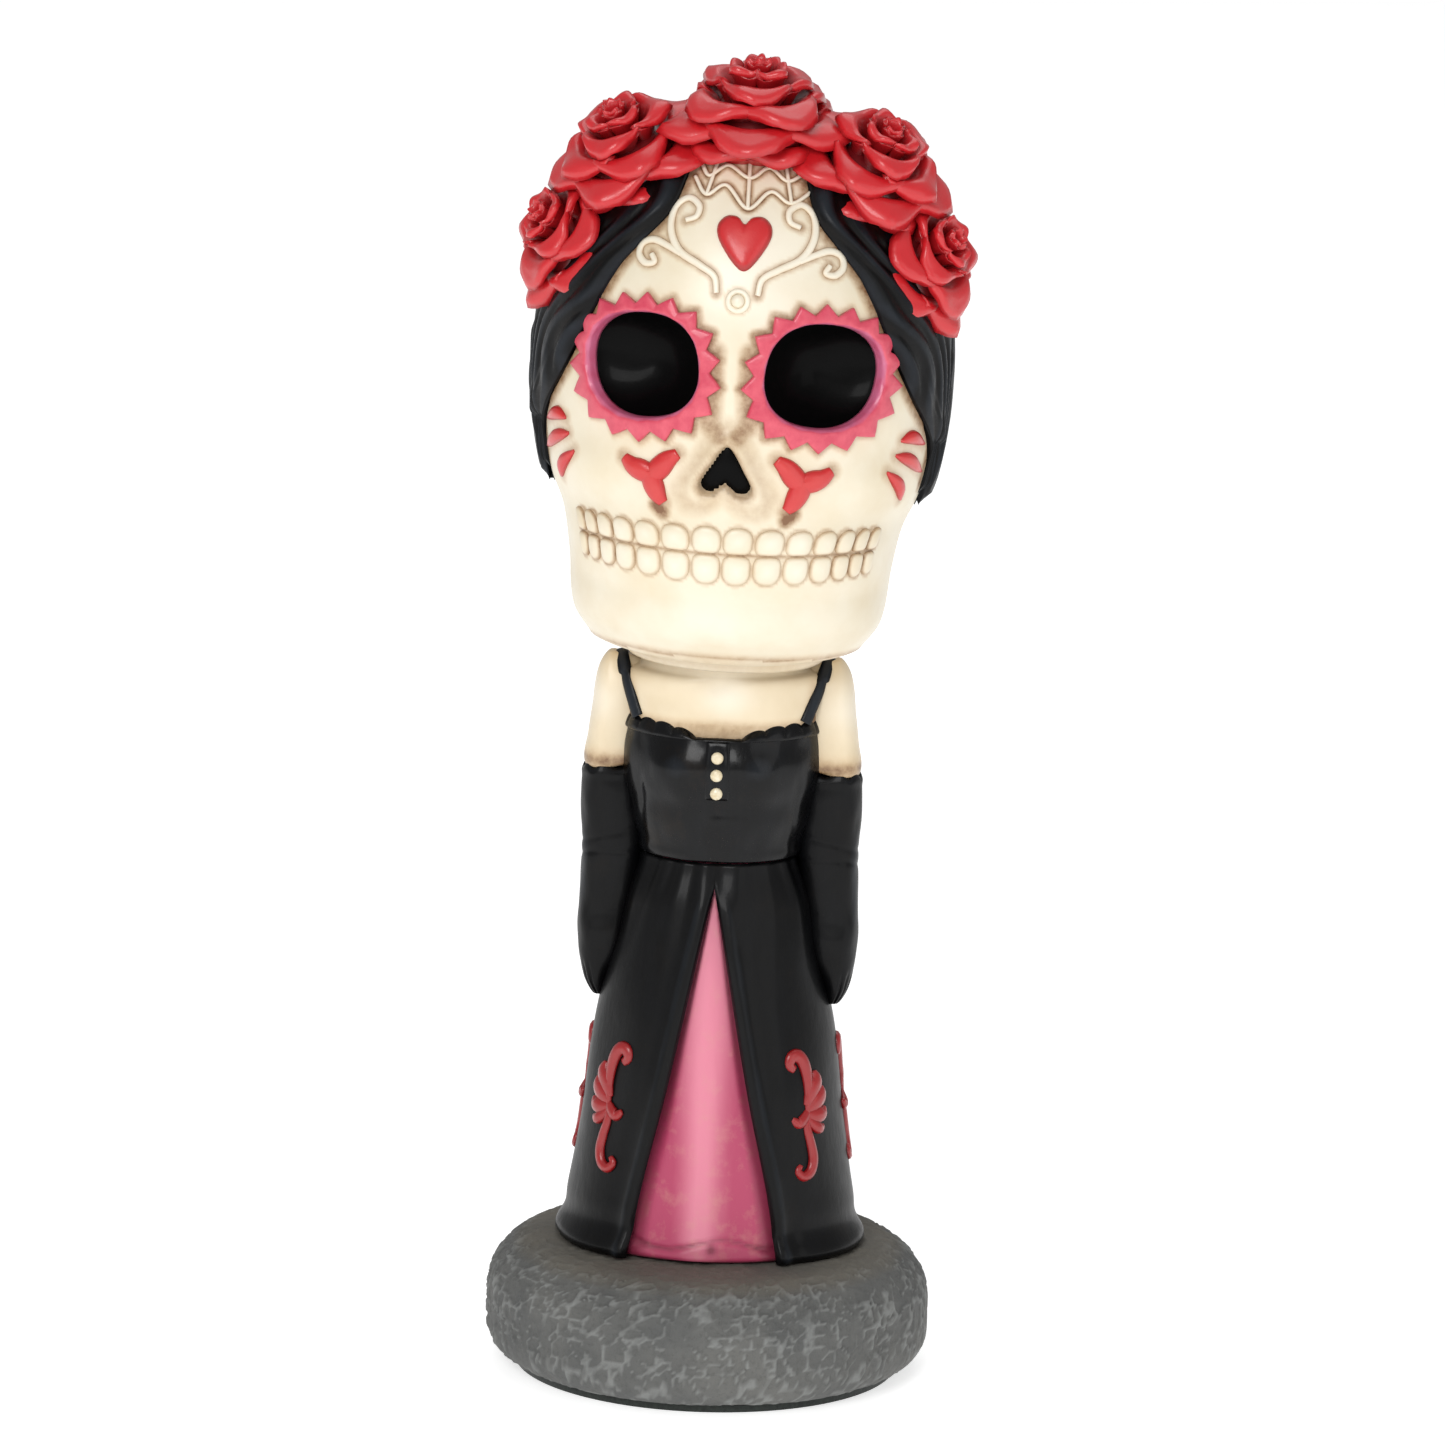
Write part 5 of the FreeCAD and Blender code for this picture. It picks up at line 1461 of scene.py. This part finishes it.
def petal(layer, facing, seed):
    # one petal in shares of the rose's radius
    def line(share, u):
        # distance from the rose's axis and height at a share of the way to the lip
        way = share * (1 - 0.16 * abs(u) ** 2.2 + layer["point"] * max(1 - abs(u) * 1.6, 0) * share)
        radius = layer["base"] + (layer["lip"] - layer["base"]) * way ** 1.25
        height = layer["low"] + (layer["high"] - layer["low"]) * math.sin(min(way, 1.15) * math.pi / 2)
        roll = smooth(0.72, 1.08, way)
        ruffle = 0.03 * math.sin(u * 7 + seed) * smooth(0.5, 1, share)
        height -= layer["curl"] * roll * (0.8 + 0.5 * abs(u))
        radius += layer["curl"] * 0.55 * roll + ruffle * 0.5 - layer["cup"] * u * u
        return radius, height + ruffle

    def place(across, along):
        u = across * 2 - 1
        front = along < 0.5
        share = along * 2 if front else (1 - along) * 2
        width = layer["half"] * (0.62 + 0.38 * math.sin(min(share * 1.2, 1) * math.pi / 2)) \
            * (1 - 0.12 * smooth(0.75, 1, share))
        angle = facing + u * width
        radius, height = line(share, u)
        ahead, above = line(share + 0.02, u)
        run, rise = ahead - radius, above - height
        length = max(math.hypot(run, rise), 1e-6)
        thick = layer["thick"] * math.sin(min(share * 6, 1) * math.pi / 2) * max(1 - abs(u) ** 6, 0) ** 0.5
        thick *= 1 - 0.35 * smooth(0.93, 1, share)
        if not front:
            radius, height = radius + rise / length * thick, height - run / length * thick
        # painted shade deep in the rose and on the petals' backs, and a painted highlight on their lips
        dark = (1 - share) ** 1.5 * 0.8 if front else 0.25 + 0.4 * (1 - share)
        light = smooth(0.84, 0.99, share) * (1 if front else 0.5)
        return Vector((radius * math.sin(angle), -radius * math.cos(angle), height)), dark, light
    mesh = bent(20, 26, place, 0.0004)
    return closed(mesh)


def makeRose(shape, seed):
    parts = []
    for level, layer in enumerate(roseLayers):
        for count in range(layer["count"]):
            wander = noise.noise((seed + count * 1.7, level * 2.3, 0.5)) * 0.3
            facing = layer["turn"] + shape["turn"] + count * math.tau / layer["count"] + wander
            varied = dict(layer)
            varied["high"] = layer["high"] + 0.05 * noise.noise((seed * 3 + count, level * 5.1, 1.5))
            varied["point"] = layer["point"] * (1 + 0.5 * noise.noise((seed + count * 3.1, level, 7.5)))
            parts.append(petal(varied, facing, seed + count * 2.1 + level))
    heart = bmesh.new()
    bmesh.ops.create_uvsphere(heart, u_segments=40, v_segments=24, radius=1)
    bmesh.ops.scale(heart, vec=(0.74, 0.74, 0.5), verts=heart.verts)
    bmesh.ops.translate(heart, vec=(0, 0, -0.28), verts=heart.verts)
    # the bud's middle is painted in shade
    wash = heart.verts.layers.float.new("wash")
    for vertex in heart.verts:
        vertex[wash] = 0.9
    heart.verts.layers.float.new("tint")
    whole = joined([*parts, heart])
    turned = (Matrix.Translation(shape["place"]) @ Matrix.Rotation(math.radians(shape["lean"]), 4, "Z")
              @ Matrix.Rotation(math.radians(shape["tilt"]), 4, "X") @ Matrix.Scale(shape["radius"], 4))
    bmesh.ops.transform(whole, matrix=turned, verts=whole.verts)
    return whole


def makeRoses():
    finished("rose_centre_cast", makeRose(roses["centre"], 1.3), roseRed, "head", ["rose_centre"],
             True)
    for where, seed in (("upper", 4.1), ("lower", 7.7)):
        pair(f"rose_{where}", makeRose(roses[where], seed), roseRed, "head", True)


makeRoses()
print("roses set")

# floor, light and camera
stage = {"floorHalf": 9, "elevation": 12, "azimuth": 3.5, "roll": 1.7, "distance": 1.278,
         "aim": (0, 0, 0.097), "lens": 219.7, "left": 0.00023, "lower": 0.00126, "world": 0.4,
         "floorGlow": 0.6,
         "lamps": (("key", (-0.25, -1.15, 0.75), 0.6, 7.5), ("fill", (0.95, -0.9, 0.45), 0.8, 1.8),
                   ("top", (0.1, 0.5, 1.2), 0.9, 3.5))}


def makeStage():
    mesh = bmesh.new()
    bmesh.ops.create_grid(mesh, x_segments=1, y_segments=1, size=stage["floorHalf"])
    data = bpy.data.meshes.new("floor")
    mesh.to_mesh(data)
    mesh.free()
    paint = Paint("floor_paint", Emission_Color=(1, 1, 1, 1), Emission_Strength=stage["floorGlow"])
    data.materials.append(paint.coat((0.86, 0.86, 0.86, 1), 0.8))
    floor = bpy.data.objects.new("floor", data)
    bpy.context.collection.objects.link(floor)

    world = bpy.data.worlds.new("studio")
    world.use_nodes = True
    sky = world.node_tree.nodes["Background"]
    sky.inputs["Color"].default_value = (1, 1, 1, 1)
    sky.inputs["Strength"].default_value = stage["world"]
    bpy.context.scene.world = world

    for name, place, size, power in stage["lamps"]:
        lamp = bpy.data.lights.new(name, "AREA")
        lamp.size = size
        lamp.energy = power
        holder = bpy.data.objects.new(name, lamp)
        holder.location = place
        holder.rotation_euler = (Vector((0, 0, 0.11)) - Vector(place)).to_track_quat("-Z", "Y").to_euler()
        bpy.context.collection.objects.link(holder)

    tilt, swing, roll = (math.radians(stage[name]) for name in ("elevation", "azimuth", "roll"))
    back = Vector((math.sin(swing) * math.cos(tilt), -math.cos(swing) * math.cos(tilt), math.sin(tilt)))
    right = (-back).cross(Vector((0, 0, 1))).normalized()
    up = right.cross(-back)
    right, up = right * math.cos(roll) + up * math.sin(roll), up * math.cos(roll) - right * math.sin(roll)
    place = Vector(stage["aim"]) + back * stage["distance"] - right * stage["left"] - up * stage["lower"]
    lens = bpy.data.cameras.new("camera")
    lens.lens = stage["lens"]
    lens.sensor_width = 36
    lens.clip_start = 0.05
    camera = bpy.data.objects.new("camera", lens)
    bpy.context.collection.objects.link(camera)
    camera.matrix_world = Matrix.Translation(place) @ Matrix((right, up, back)).transposed().to_4x4()
    bpy.context.scene.camera = camera


makeStage()
